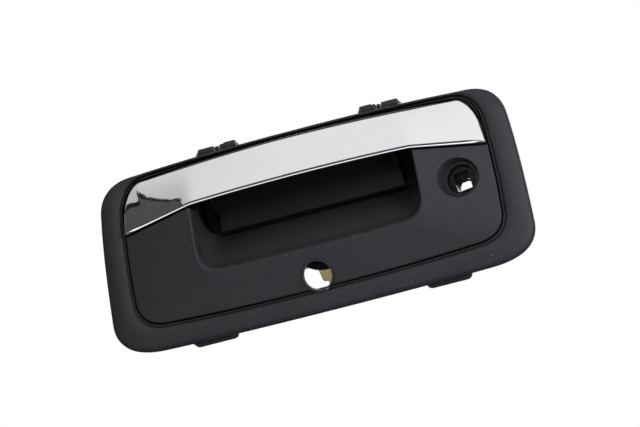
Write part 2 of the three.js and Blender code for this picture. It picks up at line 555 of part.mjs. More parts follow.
function lockRotor() {
  const outer = LOCK.bore - 1.75;
  const slot = { half: 6.6, top: 7, low: -9.4, turn: THREE.MathUtils.degToRad(7.5) };
  const upright = [
    [-slot.half, slot.low],
    [-slot.half, slot.top],
    [slot.half, slot.top],
    [slot.half, slot.low],
  ];
  const corners = upright
    .map((p) => new THREE.Vector2(...p).rotateAround(new THREE.Vector2(), slot.turn))
    .map((p) => new THREE.Vector2(LOCK.x + p.x, LOCK.z + p.y));
  const face = round(LOCK.x, LOCK.z, -5.4, -2.8, LOCK.bore - GAP, LOCK.bore - GAP, 32);
  const plate = cut(face, slab(corners, -8, 0));
  const tube = cut(
    round(LOCK.x, LOCK.z, -3, LOCK.back + 3, outer, outer, 32),
    round(LOCK.x, LOCK.z, -2.8, 30, outer - 1.7, outer - 1.7, 32),
    slab(corners, -8, 0),
    box(LOCK.x - 7.4, LOCK.x + 7.4, -2.8, 18.4, -20, 20),
  );
  const angle = THREE.MathUtils.degToRad(-ROTOR_PIN.swing);
  const pin = {
    x: LOCK.x + ROTOR_PIN.radius * Math.sin(angle),
    z: LOCK.z + ROTOR_PIN.radius * Math.cos(angle),
  };
  const arm = cut(
    joined(
      round(LOCK.x, LOCK.z, LOCK.back + 0.5, LOCK.back + 3, 14.4, 14.4, 32),
      limb((LOCK.x + pin.x) / 2, (LOCK.z + pin.z) / 2, 8, pin.x, pin.z, 4.2, LOCK.back + 0.5, LOCK.back + 3),
      round(pin.x, pin.z, LOCK.back + 0.5, LOCK.back + 3, 4.4, 4.4, 16),
      round(pin.x, pin.z, LOCK.back + 2, SLIDER.y1 + 1.6, 2.5, 2.5, 16),
    ),
    round(LOCK.x, LOCK.z, LOCK.back - 2, LOCK.back + 8, outer - 1.7, outer - 1.7, 32),
  );
  return { body: joined(plate, tube, arm), pin };
}
const rotor = lockRotor();
// Flat bar with an upright slot for the rotor's pin and a hooked inner end.
const slider = cut(
  joined(
    box(SLIDER.x0, rotor.pin.x, SLIDER.y0, SLIDER.y1, SLIDER.z0, SLIDER.z1),
    box(rotor.pin.x - 6.4, rotor.pin.x + 6.4, SLIDER.y0, SLIDER.y1, SLIDER.z0 - 2.4, SLIDER.z1),
    box(SLIDER.x0, SLIDER.x0 + 3, SLIDER.y0, SLIDER.y1 + 4, SLIDER.z0, SLIDER.z1),
  ),
  box(rotor.pin.x - 3.2, rotor.pin.x + 3.2, SLIDER.y0 - 1, SLIDER.y1 + 1, SLIDER.z0, SLIDER.z1 - 2.6),
);
// Spring-steel clip that keeps the lock cylinder in its tube: a U pushed in from above.
const lockClip = cut(
  box(LOCK.x - 18, LOCK.x + 18, CLIP_SLOT.y0, CLIP_SLOT.y1, 7, 23),
  round(LOCK.x, LOCK.z, 10, 20, LOCK.bore - 1.2, LOCK.bore - 1.2, 32),
  box(LOCK.x - 11.8, LOCK.x + 11.8, 10, 20, -2, 7),
);
// Plastic bracket that the camera snaps into, seen through the camera opening.
const bracketLeg = [[-5.8, -38], [18, -38], [18, -50], [14, -59], [3.6, -59], [1.6, -53], [-2.6, -52.2]];
const cameraBracket = cut(
  joined(box(-32, 32, 6, 8.6, -38.2, -31), slab(bracketLeg.map((p) => new THREE.Vector2(...p)), 6, 10.4)),
  ...BRACKET_SCREWS.map((x) => round(x, BRACKET_Z, 0, 14, 2.3, 2.3, 12)),
);

// ---------------------------------------------------------------- fasteners
// Screw along +Y with its head at the back: shank from y0 to y1, washer head beyond y1.
const screw = (x, z, y0, y1, shank, head, sides = 10) =>
  joined(
    round(x, z, y0, y1 + 0.4, shank, shank, sides),
    round(x, z, y1, y1 + 1, head, head, 14),
    round(x, z, y1 + 0.8, y1 + 3, head * 0.66, head * 0.62, 6),
  );
const HOLE_SIDES = 12;
for (const x of BRACKET_SCREWS) {
  housing = cut(housing, round(x, BRACKET_Z, -8, 8, 1.9, 1.9, HOLE_SIDES));
}
for (const [x, z] of STUDS) housing = cut(housing, round(x, z, -6, STUD_SEAT_Y + 1, 3.4, 3.4, 16));
for (const [x, z] of FRAME_SCREWS) housing = cut(housing, round(x, z, -3, 3, 1.9, 1.9, HOLE_SIDES));
// Stud moulded into its boss: shank with a tapered tip, and a round collar against the boss.
const stud = (x, z) =>
  joined(
    round(x, z, -5.6, STUD_SEAT_Y + 18, 2.9, 2.9, 16),
    round(x, z, STUD_SEAT_Y + 17.9, STUD_SEAT_Y + 20, 2.9, 2.1, 16),
    round(x, z, STUD_SEAT_Y + GAP, STUD_SEAT_Y + 2, 6.6, 6.6, 20),
  );

const BUMPERS = [[-132, 50], [132, 50]];
for (const [x, z] of BUMPERS) housing = cut(housing, round(x, z, -8, 0, 2.4, 2.4, HOLE_SIDES));
// Push-in bumper: tapered head, neck through the recess floor, and barb behind it.
const bumper = (x, z) =>
  joined(
    round(x, z, -12.6, recessFloor.front - GAP, 3.4, 4.6, 16),
    round(x, z, -7, -1.6, 2, 2, 12),
    round(x, z, recessFloor.back + GAP, -1, 3.2, 2.2, 12),
  );
// Headed pin along the hinge line, from x = from to x = to, with its head at the first end.
function hingePin(from, to) {
  const neck = from + Math.sign(to - from) * 1.8;
  const shank = axle(PIVOT.y, PIVOT.z, Math.min(from, to), Math.max(from, to), 1.9, 16);
  return joined(shank, axle(PIVOT.y, PIVOT.z, Math.min(from, neck), Math.max(from, neck), 3.3, 16));
}
// Spring washer pushed onto a pin at x.
const pinRetainer = (x) =>
  cut(
    axle(PIVOT.y, PIVOT.z, x - 0.5, x + 0.5, 3.4, 16),
    axle(PIVOT.y, PIVOT.z, x - 2, x + 2, 2.25, 16),
  );

// ---------------------------------------------------------------- assembly
add("bezel_frame", frame, MATERIALS.texturedBlack);
add("handle_housing", housing, MATERIALS.texturedBlack);
add("handle_cover", cover, MATERIALS.chrome);
add("handle_core", core, MATERIALS.smoothBlack);
add("bell_crank", crankPlate(), MATERIALS.zincYellow);
add("rod_clip_upper", rodClip(CRANK.z + CRANK.arm), MATERIALS.naturalNylon);
add("rod_clip_lower", rodClip(CRANK.z - CRANK.arm), MATERIALS.naturalNylon);
add("crank_pivot_screw", pivotScrew, MATERIALS.steel);
add("crank_washer", crankWasher, MATERIALS.steel);
add("crank_spring", crankSpring(), MATERIALS.steel);
add("lock_rotor", rotor.body, MATERIALS.smoothBlack);
add("lock_slider", slider, MATERIALS.zincYellow);
add("lock_retaining_clip", lockClip, MATERIALS.steel);
add("camera_bracket", cameraBracket, MATERIALS.naturalNylon);
for (const [name, side, spot] of [["left", -1, BUMPERS[0]], ["right", 1, BUMPERS[1]]]) {
  add("hinge_pin_" + name, hingePin(side * 54.6, side * 93.6), MATERIALS.steel);
  add("pin_retainer_" + name, pinRetainer(side * 91.6), MATERIALS.steel);
  add("handle_bumper_" + name, bumper(...spot), MATERIALS.rubber);
  add("bracket_screw_" + name, screw(side * 24, BRACKET_Z, -6, 8.6 + GAP, 1.5, 4.2), MATERIALS.steel);
}
COVER_SCREWS.forEach(([x, z], i) => {
  add("cover_screw_" + (i + 1), screw(x, z, -19.2, -15.5 + GAP, 1.3, 3.4), MATERIALS.steel);
});
FRAME_SCREWS.forEach(([x, z], i) => {
  add("frame_screw_" + (i + 1), screw(x, z, -6.4, 1.4 + GAP, 1.3, 3.6), MATERIALS.steel);
});
STUDS.forEach(([x, z], i) => add("mount_stud_" + (i + 1), stud(x, z), MATERIALS.steel));

export default group;
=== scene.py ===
"""Looks for a pickup tailgate handle and its bezel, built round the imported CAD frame.

Shapes are drawn in panel millimetres: x to the right, y back from the bezel's mounting face, and z up from
the middle of the panel. piece() puts each finished mesh into the row frame, in metres.
"""

import json
import math

import bmesh
import bpy
import numpy as np
from mathutils import Matrix, Vector

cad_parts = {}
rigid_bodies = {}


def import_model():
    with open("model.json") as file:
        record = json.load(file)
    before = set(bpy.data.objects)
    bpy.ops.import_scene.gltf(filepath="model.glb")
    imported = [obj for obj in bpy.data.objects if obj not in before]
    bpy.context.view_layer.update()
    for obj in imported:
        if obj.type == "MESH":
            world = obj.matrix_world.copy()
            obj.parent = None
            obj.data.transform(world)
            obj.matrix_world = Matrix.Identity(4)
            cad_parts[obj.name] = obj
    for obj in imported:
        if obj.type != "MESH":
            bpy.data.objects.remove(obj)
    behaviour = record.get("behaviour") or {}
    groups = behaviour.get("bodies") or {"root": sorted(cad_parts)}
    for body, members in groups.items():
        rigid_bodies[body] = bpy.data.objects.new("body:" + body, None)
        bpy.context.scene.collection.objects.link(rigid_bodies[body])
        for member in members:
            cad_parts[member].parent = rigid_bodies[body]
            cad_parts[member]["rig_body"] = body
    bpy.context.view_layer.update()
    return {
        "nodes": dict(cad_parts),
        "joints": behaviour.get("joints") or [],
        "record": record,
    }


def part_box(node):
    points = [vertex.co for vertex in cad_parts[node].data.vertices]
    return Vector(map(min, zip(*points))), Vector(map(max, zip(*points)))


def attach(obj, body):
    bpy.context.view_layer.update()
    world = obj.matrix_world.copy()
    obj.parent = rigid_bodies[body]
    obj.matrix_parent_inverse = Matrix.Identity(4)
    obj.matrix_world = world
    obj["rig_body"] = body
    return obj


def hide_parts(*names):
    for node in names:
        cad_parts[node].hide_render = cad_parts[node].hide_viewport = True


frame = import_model()

# ---- places, read from the frame
JOINTS = {joint["name"]: joint for joint in frame["joints"]}
MOUNTS = {mount["name"]: mount for mount in frame["record"]["mounts"]}
MM = 0.001
PANEL_Z = JOINTS["lock_turn"]["pos_m"][2]


def panel_mm(point):
    """A point of the row frame, in metres, as panel millimetres."""
    return np.array([point[0], point[1], point[2] - PANEL_Z]) / MM


def middle(node):
    """Middle of a CAD node's box, as x and z in panel millimetres."""
    low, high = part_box(node)
    return tuple(panel_mm((low + high) / 2)[[0, 2]])


def half_width(node):
    """Right end of a CAD node's box, in panel millimetres."""
    return panel_mm(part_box(node)[1])[0]


_, HINGE_Y, HINGE_Z = panel_mm(JOINTS["handle_pull"]["pos_m"])
_, CRANK_FRONT, CRANK_Z = panel_mm(JOINTS["crank_turn"]["pos_m"])
LOCK_X = panel_mm(JOINTS["lock_turn"]["pos_m"])[0]
SIDES = {"left": -1, "right": 1}
STUDS = [tuple(panel_mm(MOUNTS[f"stud_seat_{i}"]["pos_m"])[[0, 2]]) for i in range(1, 5)]
STUD_SEAT_Y = panel_mm(MOUNTS["stud_seat_1"]["pos_m"])[1]
FRAME_SCREWS = [middle(f"frame_screw_{i}") for i in range(1, 7)]
COVER_SCREWS = [middle(f"cover_screw_{i}") for i in range(1, 5)]
BRACKET_SCREWS = [middle(f"bracket_screw_{side}") for side in SIDES]
BUMPERS = [middle(f"handle_bumper_{side}") for side in SIDES]
COVER_HALF = half_width("handle_cover")
CORE_HALF = half_width("handle_core")

# ---- driving dimensions, in millimetres
RIM_HEIGHT = 11
RIM_HEIGHT_TOP = 7
PANEL_EDGE_Y = -9.6
PANEL_CREST_Y = -22.5
WALL = 2.8
POCKET_BACK_Y = 17
ARM_X = 73.6
ARM_HALF = 1.5
NOTCH_HALF = 3.1
GAP = 0.35
CAMERA = {"x": -1.4, "y": -13.5, "z": -53, "hole": 12.4, "boss": 14, "tilt": 22}
LOCK = {"bore": 12.8, "tube": 15.2, "seat": -8.4, "back": 22}
RECESS_FLOOR = (-5.6, -2.8)
LEVER = {"x0": 19, "x1": 41, "low": 77.3, "high": 80.3, "back": 33}
SLIDER = {"x0": 26, "y0": 26, "y1": 28.4, "z0": 10, "z1": 24}
CLIP_SLOT = (15.6, 17.2)
PILOT_HOLE = 1.7
SCREW_HOLE = 1.9
STUD_HOLE = 3.4
BUMPER_HOLE = 2.4
HINGE_BORE = 2.25
FAR = 90

# ---- outlines, seen from the front
CURVE_STEPS = (22, 18, 16, 20, 18)


def curved(start, corner, end, t):
    """Point on the curve that leaves start towards a corner and bends off to end."""
    return (1 - t) ** 2 * start + 2 * t * (1 - t) * corner + t * t * end


def outline(*points):
    """Closed outline from eleven points of its right half: five curves end to end, mirrored in x."""
    right = []
    for k, steps in enumerate(CURVE_STEPS):
        ends = [np.array(point, float) for point in points[2 * k : 2 * k + 3]]
        right += [curved(*ends, t) for t in np.arange(steps) / steps]
    right.append(np.array(points[-1], float))
    left = [point * (-1, 1) for point in right[-2:0:-1]]
    return np.array(right + left)


RIM = outline(
    (0, 81.8), (80, 82.2), (150, 77.8), (179, 78), (183.6, 52), (188.6, 14),
    (189.8, -50), (190, -79.5), (146, -80.6), (80, -82.4), (0, -82.4),
)
INNER = outline(
    (0, 78.6), (76, 79), (140, 75.2), (161, 74), (166.4, 48), (170.4, 4),
    (169.4, -32), (170.4, -63.4), (138, -63.6), (80, -66.8), (0, -66.8),
)
GROOVE = outline(
    (0, 76.5), (70, 76.6), (138, 72.9), (157, 71.6), (162, 48), (166, 4),
    (165, -32), (166, -59), (136, -59.2), (80, -62.8), (0, -62.8),
)
POCKET = outline(
    (0, 62), (40, 62), (84, 62), (101, 62), (101, 44), (101.4, 16),
    (101.4, -8), (101.5, -31.5), (76, -30.4), (40, -31.2), (0, -31.2),
)
POCKET_BACK = outline(
    (0, 64), (40, 64), (78, 64), (90, 64), (90, 52), (91, 36),
    (91, 22), (91, 10.5), (79, 10.5), (40, 10.5), (0, 10.5),
)


def mixed(a, b, share):
    """Outline a share of the way from a to b."""
    return a + (b - a) * share


def grown(points, distance):
    """Closed clockwise outline moved outwards."""
    along = np.roll(points, -1, axis=0) - np.roll(points, 1, axis=0)
    along /= np.maximum(np.linalg.norm(along, axis=1, keepdims=True), 1e-9)
    return points + distance * np.column_stack([-along[:, 1], along[:, 0]])


def ring(points, y):
    """Outline of x and z as points in space, at depth y."""
    return np.column_stack([points[:, 0], np.broadcast_to(y, len(points)), points[:, 1]])


def ramp(value, start, end):
    """Smooth step from 0 to 1."""
    t = np.clip((value - start) / (end - start), 0, 1)
    return t * t * (3 - 2 * t)


def rounded(points, radius, steps=4):
    """Closed polygon with its corners rounded. radius is one number or one for each corner."""
    points = np.array(points, float)
    radii = np.broadcast_to(radius, len(points))
    out = []
    for k, here in enumerate(points):
        if not radii[k]:
            out.append(here)
            continue
        before, after = points[k - 1] - here, points[(k + 1) % len(points)] - here
        lengths = np.linalg.norm(before), np.linalg.norm(after)
        size = min(radii[k], 0.48 * min(lengths))
        start, end = here + before / lengths[0] * size, here + after / lengths[1] * size
        out += [curved(start, here, end, t) for t in np.linspace(0, 1, steps + 1)]
    return np.array(out)


# ---- solids
def linked(name, data):
    """New object with this data, in the scene."""
    made = bpy.data.objects.new(name, data)
    bpy.context.scene.collection.objects.link(made)
    return made


def cleaned(mesh, distance, slivers=False):
    """Merges points this close, takes out slivers if asked, and turns the faces outwards."""
    work = bmesh.new()
    work.from_mesh(mesh)
    bmesh.ops.remove_doubles(work, verts=work.verts, dist=distance)
    if slivers:
        bmesh.ops.dissolve_degenerate(work, edges=work.edges, dist=distance)
    bmesh.ops.recalc_face_normals(work, faces=work.faces)
    work.to_mesh(mesh)
    work.free()


def mesh_object(name, points, faces):
    mesh = bpy.data.meshes.new(name)
    mesh.from_pydata([tuple(map(float, point)) for point in points], [], faces)
    cleaned(mesh, 1e-4)
    return linked(name, mesh)


def loft(rings, closed=False):
    """Solid through rings of equal length. An open run of rings is capped at both ends."""
    n = len(rings[0])
    faces = []
    for r in range(len(rings) if closed else len(rings) - 1):
        a, b = r * n, (r + 1) % len(rings) * n
        faces += [(a + i, a + (i + 1) % n, b + (i + 1) % n, b + i) for i in range(n)]
    if not closed:
        last = (len(rings) - 1) * n
        faces += [tuple(range(n)), tuple(range(last, last + n))]
    return mesh_object("solid", np.concatenate(rings), faces)


def filleted(rings, radii, closed=False, steps=4):
    """Rings with the section that runs through them rounded, by a radius at each ring."""
    out = []
    for k, (here, radius) in enumerate(zip(rings, radii)):
        if not radius or not (closed or 0 < k < len(rings) - 1):
            out.append(here)
            continue
        arms = [rings[k - 1] - here, rings[(k + 1) % len(rings)] - here]
        lengths = [np.maximum(np.linalg.norm(arm, axis=1, keepdims=True), 1e-6) for arm in arms]
        size = np.minimum(radius, 0.49 * np.minimum(*lengths))
        start, end = (here + arm / length * size for arm, length in zip(arms, lengths))
        out += [curved(start, here, end, t) for t in np.linspace(0, 1, steps + 1)]
    return out


def plate(points, y0, y1, edge=0.3):
    """Slab with this outline, from y0 back to y1, with rounded rims."""
    points = np.array(points, float)
    if np.sum(points[:, 0] * np.roll(points[:, 1], -1) - points[:, 1] * np.roll(points[:, 0], -1)) > 0:
        points = points[::-1]
    if not edge:
        return loft([ring(points, y0), ring(points, y1)])
    inner = grown(points, -edge)
    rings = [ring(inner, y0), ring(points, y0), ring(points, y1), ring(inner, y1)]
    return loft(filleted(rings, [0, edge, edge, 0], steps=3))


def prism(side, x0, x1, edge=0.3):
    """Solid with this side view of (y, z) points, from x0 to x1, with rounded rims."""
    made = plate([(y, z) for y, z in side], x0, x1, edge)
    made.data.transform(Matrix(((0, 1, 0, 0), (1, 0, 0, 0), (0, 0, 1, 0), (0, 0, 0, 1))))
    made.data.flip_normals()
    return made


def block(x0, x1, y0, y1, z0, z1, edge=0.0):
    """Box, with rounded edges where edge is given."""
    corners = [(x0, z0), (x0, z1), (x1, z1), (x1, z0)]
    return plate(rounded(corners, edge) if edge else corners, y0, y1, edge)


def full_turn(sides):
    """Angles all the way round, clockwise as seen from the front."""
    return -np.arange(sides) / sides * 2 * math.pi


def wheel(x, z, y, angle, size):
    """Ring about an axis along Y at (x, z), with a size at each angle."""
    depth = np.full(len(angle), float(y))
    return np.column_stack([x + size * np.cos(angle), depth, z + size * np.sin(angle)])


def rods(places, y0, y1, radius, **more):
    """A rod at each (x, z) place."""
    return [rod(x, z, y0, y1, radius, **more) for x, z in places]


def turned(x, z, rows, sides=64, closed=False):
    """Solid turned about an axis along Y at (x, z). A row is (y, radius), or ends in its hexagon share."""
    angle = full_turn(sides)
    flat = math.cos(math.pi / 6) / np.cos((angle % (math.pi / 3)) - math.pi / 6)
    rings = []
    for y, radius, *share in rows:
        size = max(radius, 0.01) * (1 + (flat - 1) * (share[0] if share else 0))
        rings.append(wheel(x, z, y, angle, size))
    return loft(rings, closed)


def rod(x, z, y0, y1, radius, far_radius=None, sides=64, edge=0.0):
    """Cylinder or cone along Y, with rounded rims where edge is given."""
    far = radius if far_radius is None else far_radius
    if not edge:
        return turned(x, z, [(y0, radius), (y1, far)], sides)
    arc = [(edge * (1 - math.cos(a)), edge * (1 - math.sin(a))) for a in np.linspace(0, math.pi / 2, 4)]
    front = [(y0 + inward, radius - outward) for outward, inward in reversed(arc)]
    back = [(y1 - inward, far - outward) for outward, inward in arc]
    return turned(x, z, [*sorted(front), *sorted(back)], sides)


def turned_onto(made, axis):
    """Turns a solid made along Y at the middle so that it lies along another axis."""
    made.data.transform(Vector((0, 1, 0)).rotation_difference(Vector(axis)).to_matrix().to_4x4())
    return made


def moved(made, x=0, y=0, z=0):
    made.data.transform(Matrix.Translation((x, y, z)))
    return made


def axle(y, z, x0, x1, radius, edge=0.0):
    """Cylinder along X at (y, z)."""
    return moved(turned_onto(rod(0, 0, x0, x1, radius, sides=48, edge=edge), (1, 0, 0)), 0, y, z)


def evaluated(made):
    """New mesh of an object as its modifiers, or its bevel, leave it."""
    return bpy.data.meshes.new_from_object(made.evaluated_get(bpy.context.evaluated_depsgraph_get()))


def combined(kind, base, tools):
    """Boolean of the base with each tool, all of which it uses up."""
    for tool in tools:
        step = base.modifiers.new(kind, "BOOLEAN")
        step.operation = kind
        step.solver = "MANIFOLD"
        step.object = tool
    mesh = evaluated(base)
    base.modifiers.clear()
    base.data = mesh
    for tool in tools:
        bpy.data.objects.remove(tool)
    return base


def joined(base, *tools):
    return combined("UNION", base, tools)


def cut(base, *tools):
    return combined("DIFFERENCE", base, tools)


def common(base, *tools):
    return combined("INTERSECT", base, tools)


def copied(made):
    return linked("solid", made.data.copy())


# ---- materials
def node_kit(tree):
    """A filler of a node's inputs, and a maker of filled nodes in this tree."""

    def fill(made, inputs):
        """Links each socket given, and sets each plain value on the node's own socket."""
        for key, value in inputs.items():
            if isinstance(value, bpy.types.NodeSocket):
                tree.links.new(value, made.inputs[key])
            else:
                made.inputs[key].default_value = value

    def node(kind, inputs=None, **settings):
        made = tree.nodes.new(kind)
        for key, value in settings.items():
            setattr(made, key, value)
        fill(made, inputs or {})
        return made

    return fill, node


def shader_nodes(name):
    """New material with its shader and its node kit."""
    material = bpy.data.materials.new(name)
    material.use_nodes = True
    return material, material.node_tree.nodes["Principled BSDF"], *node_kit(material.node_tree)


def place_of(node):
    return node("ShaderNodeTexCoord").outputs["Object"]


def noise(node, where, size_mm, detail=3.0, roughness=0.55):
    """Noise whose features are about size_mm across."""
    inputs = {"Vector": where, "Scale": 1 / (size_mm * MM), "Detail": detail, "Roughness": roughness}
    return node("ShaderNodeTexNoise", inputs).outputs["Fac"]


def drawn_out(node, where, squeeze, tilt, size_mm, detail, roughness):
    """Noise stretched along x, by squeezing the place it is read at."""
    inputs = {"Vector": where, "Scale": (squeeze, 1, 1), "Rotation": (0, tilt, 0)}
    return noise(node, node("ShaderNodeMapping", inputs).outputs[0], size_mm, detail, roughness)


def between(node, factor, low, high, start=0.0, end=1.0):
    """Factor from start to end turned into a value from low to high."""
    inputs = {"Value": factor, "From Min": start, "From Max": end, "To Min": low, "To Max": high}
    return node("ShaderNodeMapRange", inputs).outputs["Result"]


def maths(node, a, b, operation="ADD", use_clamp=False):
    return node("ShaderNodeMath", {0: a, 1: b}, operation=operation, use_clamp=use_clamp).outputs[0]


def blended(node, factor, a, b):
    """Colour from a to b by a factor. A mix of colours has them in inputs 6 and 7, and gives output 2."""
    return node("ShaderNodeMix", {0: factor, 6: a, 7: b}, data_type="RGBA").outputs[2]


def bumped(node, layers, soft_edge_mm=0.0):
    """Normal from bump layers of (height, depth in mm, strength), over softened edges."""
    normal = {}
    if soft_edge_mm:
        softened = node("ShaderNodeBevel", {"Radius": soft_edge_mm * MM}, samples=4)
        normal = {"Normal": softened.outputs["Normal"]}
    for height, depth, strength in layers:
        inputs = {"Height": height, "Distance": depth * MM, "Strength": strength, **normal}
        normal = {"Normal": node("ShaderNodeBump", inputs).outputs["Normal"]}
    return normal["Normal"]


def grey(value, warmth=0.0):
    return (value * (1 + warmth), value, value * (1 - warmth), 1)


def charcoal(value):
    """Black plastic's faintly violet grey."""
    return (value * 1.07, value, value * 1.2, 1)


def textured_plastic(name):
    """Spark-eroded black moulding: pebbled grain, pale specks of dust, scuffed crests, and shade painted into
    hollows.
    """
    material, shader, fill, node = shader_nodes(name)
    shade, rough = 0.042, 0.5
    where = place_of(node)
    patches = noise(node, where, 26, detail=4)
    mottle = noise(node, where, 1.1)
    fine = noise(node, where, 0.34, detail=5, roughness=0.6)
    pebbles = node(
        "ShaderNodeTexVoronoi",
        {"Vector": where, "Scale": 1 / (0.62 * MM), "Smoothness": 0.6},
        feature="SMOOTH_F1",
    ).outputs["Distance"]
    uneven = maths(node, between(node, patches, 0, 0.4, 0.3, 0.7), between(node, mottle, 0, 0.6, 0.3, 0.7))
    base = blended(node, uneven, charcoal(shade * 0.7), charcoal(shade * 1.3))
    grain = blended(node, between(node, fine, 0, 1, 0.35, 0.7), base, charcoal(shade * 1.5))
    dust = node("ShaderNodeTexVoronoi", {"Vector": where, "Scale": 1 / (4 * MM)}).outputs["Distance"]
    speck = between(node, dust, 1, 0, 0.1, 0.16)
    sparse = between(node, noise(node, where, 9, detail=2), 0, 0.9, 0.6, 0.66)
    specks = maths(node, speck, sparse, "MULTIPLY", use_clamp=True)
    dusty = blended(node, specks, grain, grey(0.3, 0.02))
    pointed = node("ShaderNodeNewGeometry").outputs["Pointiness"]
    worn = between(node, pointed, 0, 0.35, 0.53, 0.62)
    scuffed = blended(node, worn, dusty, charcoal(shade * 2.1))
    # Painted shade: ambient occlusion darkens the base colour towards near black in recesses, grooves and
    # under the handle.
    occlusion = node("ShaderNodeAmbientOcclusion", {"Distance": 60 * MM}, samples=6).outputs["AO"]
    painted_shade = between(node, occlusion, 1, 0, 0.42, 0.92)
    layers = [(patches, 0.5, 0.05), (mottle, 0.3, 0.6), (pebbles, 0.2, 0.7), (fine, 0.06, 0.45)]
    fill(shader, {
        "Base Color": blended(node, painted_shade, scuffed, charcoal(shade * 0.2)),
        "Roughness": between(node, fine, rough - 0.06, rough + 0.1, 0.3, 0.7),
        "Specular IOR Level": 0.42,
        "Normal": bumped(node, layers, soft_edge_mm=0.35),
    })
    return material


def smooth_plastic(name):
    """Satin black moulding with faint flow marks and fine rub lines."""
    material, shader, fill, node = shader_nodes(name)
    where = place_of(node)
    clouds = noise(node, where, 18, detail=5)
    fine = noise(node, where, 0.5, detail=4)
    rubs = drawn_out(node, where, 0.05, 0, 0.5, detail=6, roughness=0.7)
    rough = maths(node, between(node, clouds, 0.24, 0.36), between(node, rubs, 0, 0.12, 0.5, 0.8))
    fill(shader, {
        "Base Color": blended(node, clouds, grey(0.007, 0.02), grey(0.013, 0.03)),
        "Roughness": rough,
        "Specular IOR Level": 0.22,
        "Normal": bumped(node, [(clouds, 0.4, 0.08), (fine, 0.03, 0.3)], soft_edge_mm=0.4),
    })
    return material


def bright_plating(name):
    """Chrome plate over plastic: near-mirror, with very faint waviness, haze and wipe marks."""
    material, shader, fill, node = shader_nodes(name)
    where = place_of(node)
    waves = noise(node, where, 34, detail=2)
    haze = noise(node, where, 12, detail=6, roughness=0.7)
    wipes = drawn_out(node, where, 0.08, 0.12, 1.1, detail=5, roughness=0.65)
    hazy = maths(node, between(node, haze, 0.025, 0.06, 0.35, 0.7), between(node, wipes, 0, 0.05, 0.55, 0.8))
    fill(shader, {
        "Base Color": blended(node, haze, (0.86, 0.875, 0.9, 1), (0.93, 0.94, 0.955, 1)),
        "Metallic": 1,
        "Roughness": hazy,
        "Normal": bumped(node, [(waves, 0.5, 0.03)]),
    })
    return material


def metal(name, low, high, rough, coat=0.0):
    """Rolled or plated metal with mottled colour, fine drawn grain and dull patches."""
    material, shader, fill, node = shader_nodes(name)
    where = place_of(node)
    mottle = noise(node, where, 5, detail=6, roughness=0.65)
    grain = noise(node, where, 0.4, detail=5, roughness=0.7)
    patchy = between(node, mottle, rough - 0.08, rough + 0.12, 0.3, 0.7)
    fill(shader, {
        "Base Color": blended(node, between(node, mottle, 0, 1, 0.3, 0.72), low, high),
        "Metallic": 1,
        "Roughness": maths(node, patchy, between(node, grain, -0.04, 0.06)),
        "Coat Weight": coat,
        "Normal": bumped(node, [(mottle, 0.2, 0.08), (grain, 0.03, 0.35)], soft_edge_mm=0.2),
    })
    return material


def natural_nylon(name):
    """Unpigmented nylon: warm cream, slightly translucent, with cloudy flow."""
    material, shader, fill, node = shader_nodes(name)
    where = place_of(node)
    clouds = noise(node, where, 7, detail=5)
    fine = noise(node, where, 0.6, detail=4)
    fill(shader, {
        "Base Color": blended(node, clouds, (0.66, 0.5, 0.26, 1), (0.88, 0.76, 0.5, 1)),
        "Roughness": between(node, clouds, 0.36, 0.5),
        "Transmission Weight": 0.35,
        "Subsurface Weight": 0.25,
        "Subsurface Radius": (0.003, 0.002, 0.001),
        "Subsurface Scale": 0.5,
        "Normal": bumped(node, [(clouds, 0.2, 0.1), (fine, 0.04, 0.3)], soft_edge_mm=0.3),
    })
    return material


def rubber(name):
    """Dull black rubber with a bloom of grey in its pores."""
    material, shader, fill, node = shader_nodes(name)
    where = place_of(node)
    bloom = noise(node, where, 4, detail=6)
    pores = noise(node, where, 0.3, detail=4)
    fill(shader, {
        "Base Color": blended(node, between(node, bloom, 0, 1, 0.35, 0.7), grey(0.01), grey(0.03)),
        "Roughness": between(node, pores, 0.75, 0.95),
        "Normal": bumped(node, [(bloom, 0.15, 0.1), (pores, 0.05, 0.5)], soft_edge_mm=0.3),
    })
    return material


MATERIALS = {
    "textured_plastic": textured_plastic("textured_plastic"),
    "smooth_plastic": smooth_plastic("smooth_plastic"),
    "bright_plating": bright_plating("bright_plating"),
    "plain_steel": metal("plain_steel", (0.42, 0.42, 0.43, 1), (0.6, 0.6, 0.61, 1), 0.34),
    "zinc_plate": metal("zinc_plate", (0.5, 0.36, 0.12, 1), (0.72, 0.58, 0.3, 1), 0.32, coat=0.2),
    "natural_nylon": natural_nylon("natural_nylon"),
    "bumper_rubber": rubber("bumper_rubber"),
}
SHARP_ANGLE = math.radians(32)
SLOTS = {part["node"]: part["material_slot"] for part in frame["record"]["subparts"]}


def piece(name, made, node):
    """Finishes a solid drawn in panel millimetres: it stands for a CAD node, with its body and finish."""
    made.name = made.data.name = name
    made.data.transform(Matrix.Translation((0, 0, PANEL_Z)) @ Matrix.Scale(MM, 4))
    cleaned(made.data, 2e-6, slivers=True)
    made.data.shade_smooth()
    made.data.set_sharp_from_angle(angle=SHARP_ANGLE)
    made.data.materials.clear()
    made.data.materials.append(MATERIALS[SLOTS[node]])
    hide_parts(node)
    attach(made, frame["nodes"][node]["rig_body"])


# ---- bezel frame
def rim_crest(points):
    """Height of the rim's crest in front of the mounting face: lower along the top."""
    return RIM_HEIGHT - (RIM_HEIGHT - RIM_HEIGHT_TOP) * ramp(points[:, 1], 52, 76)


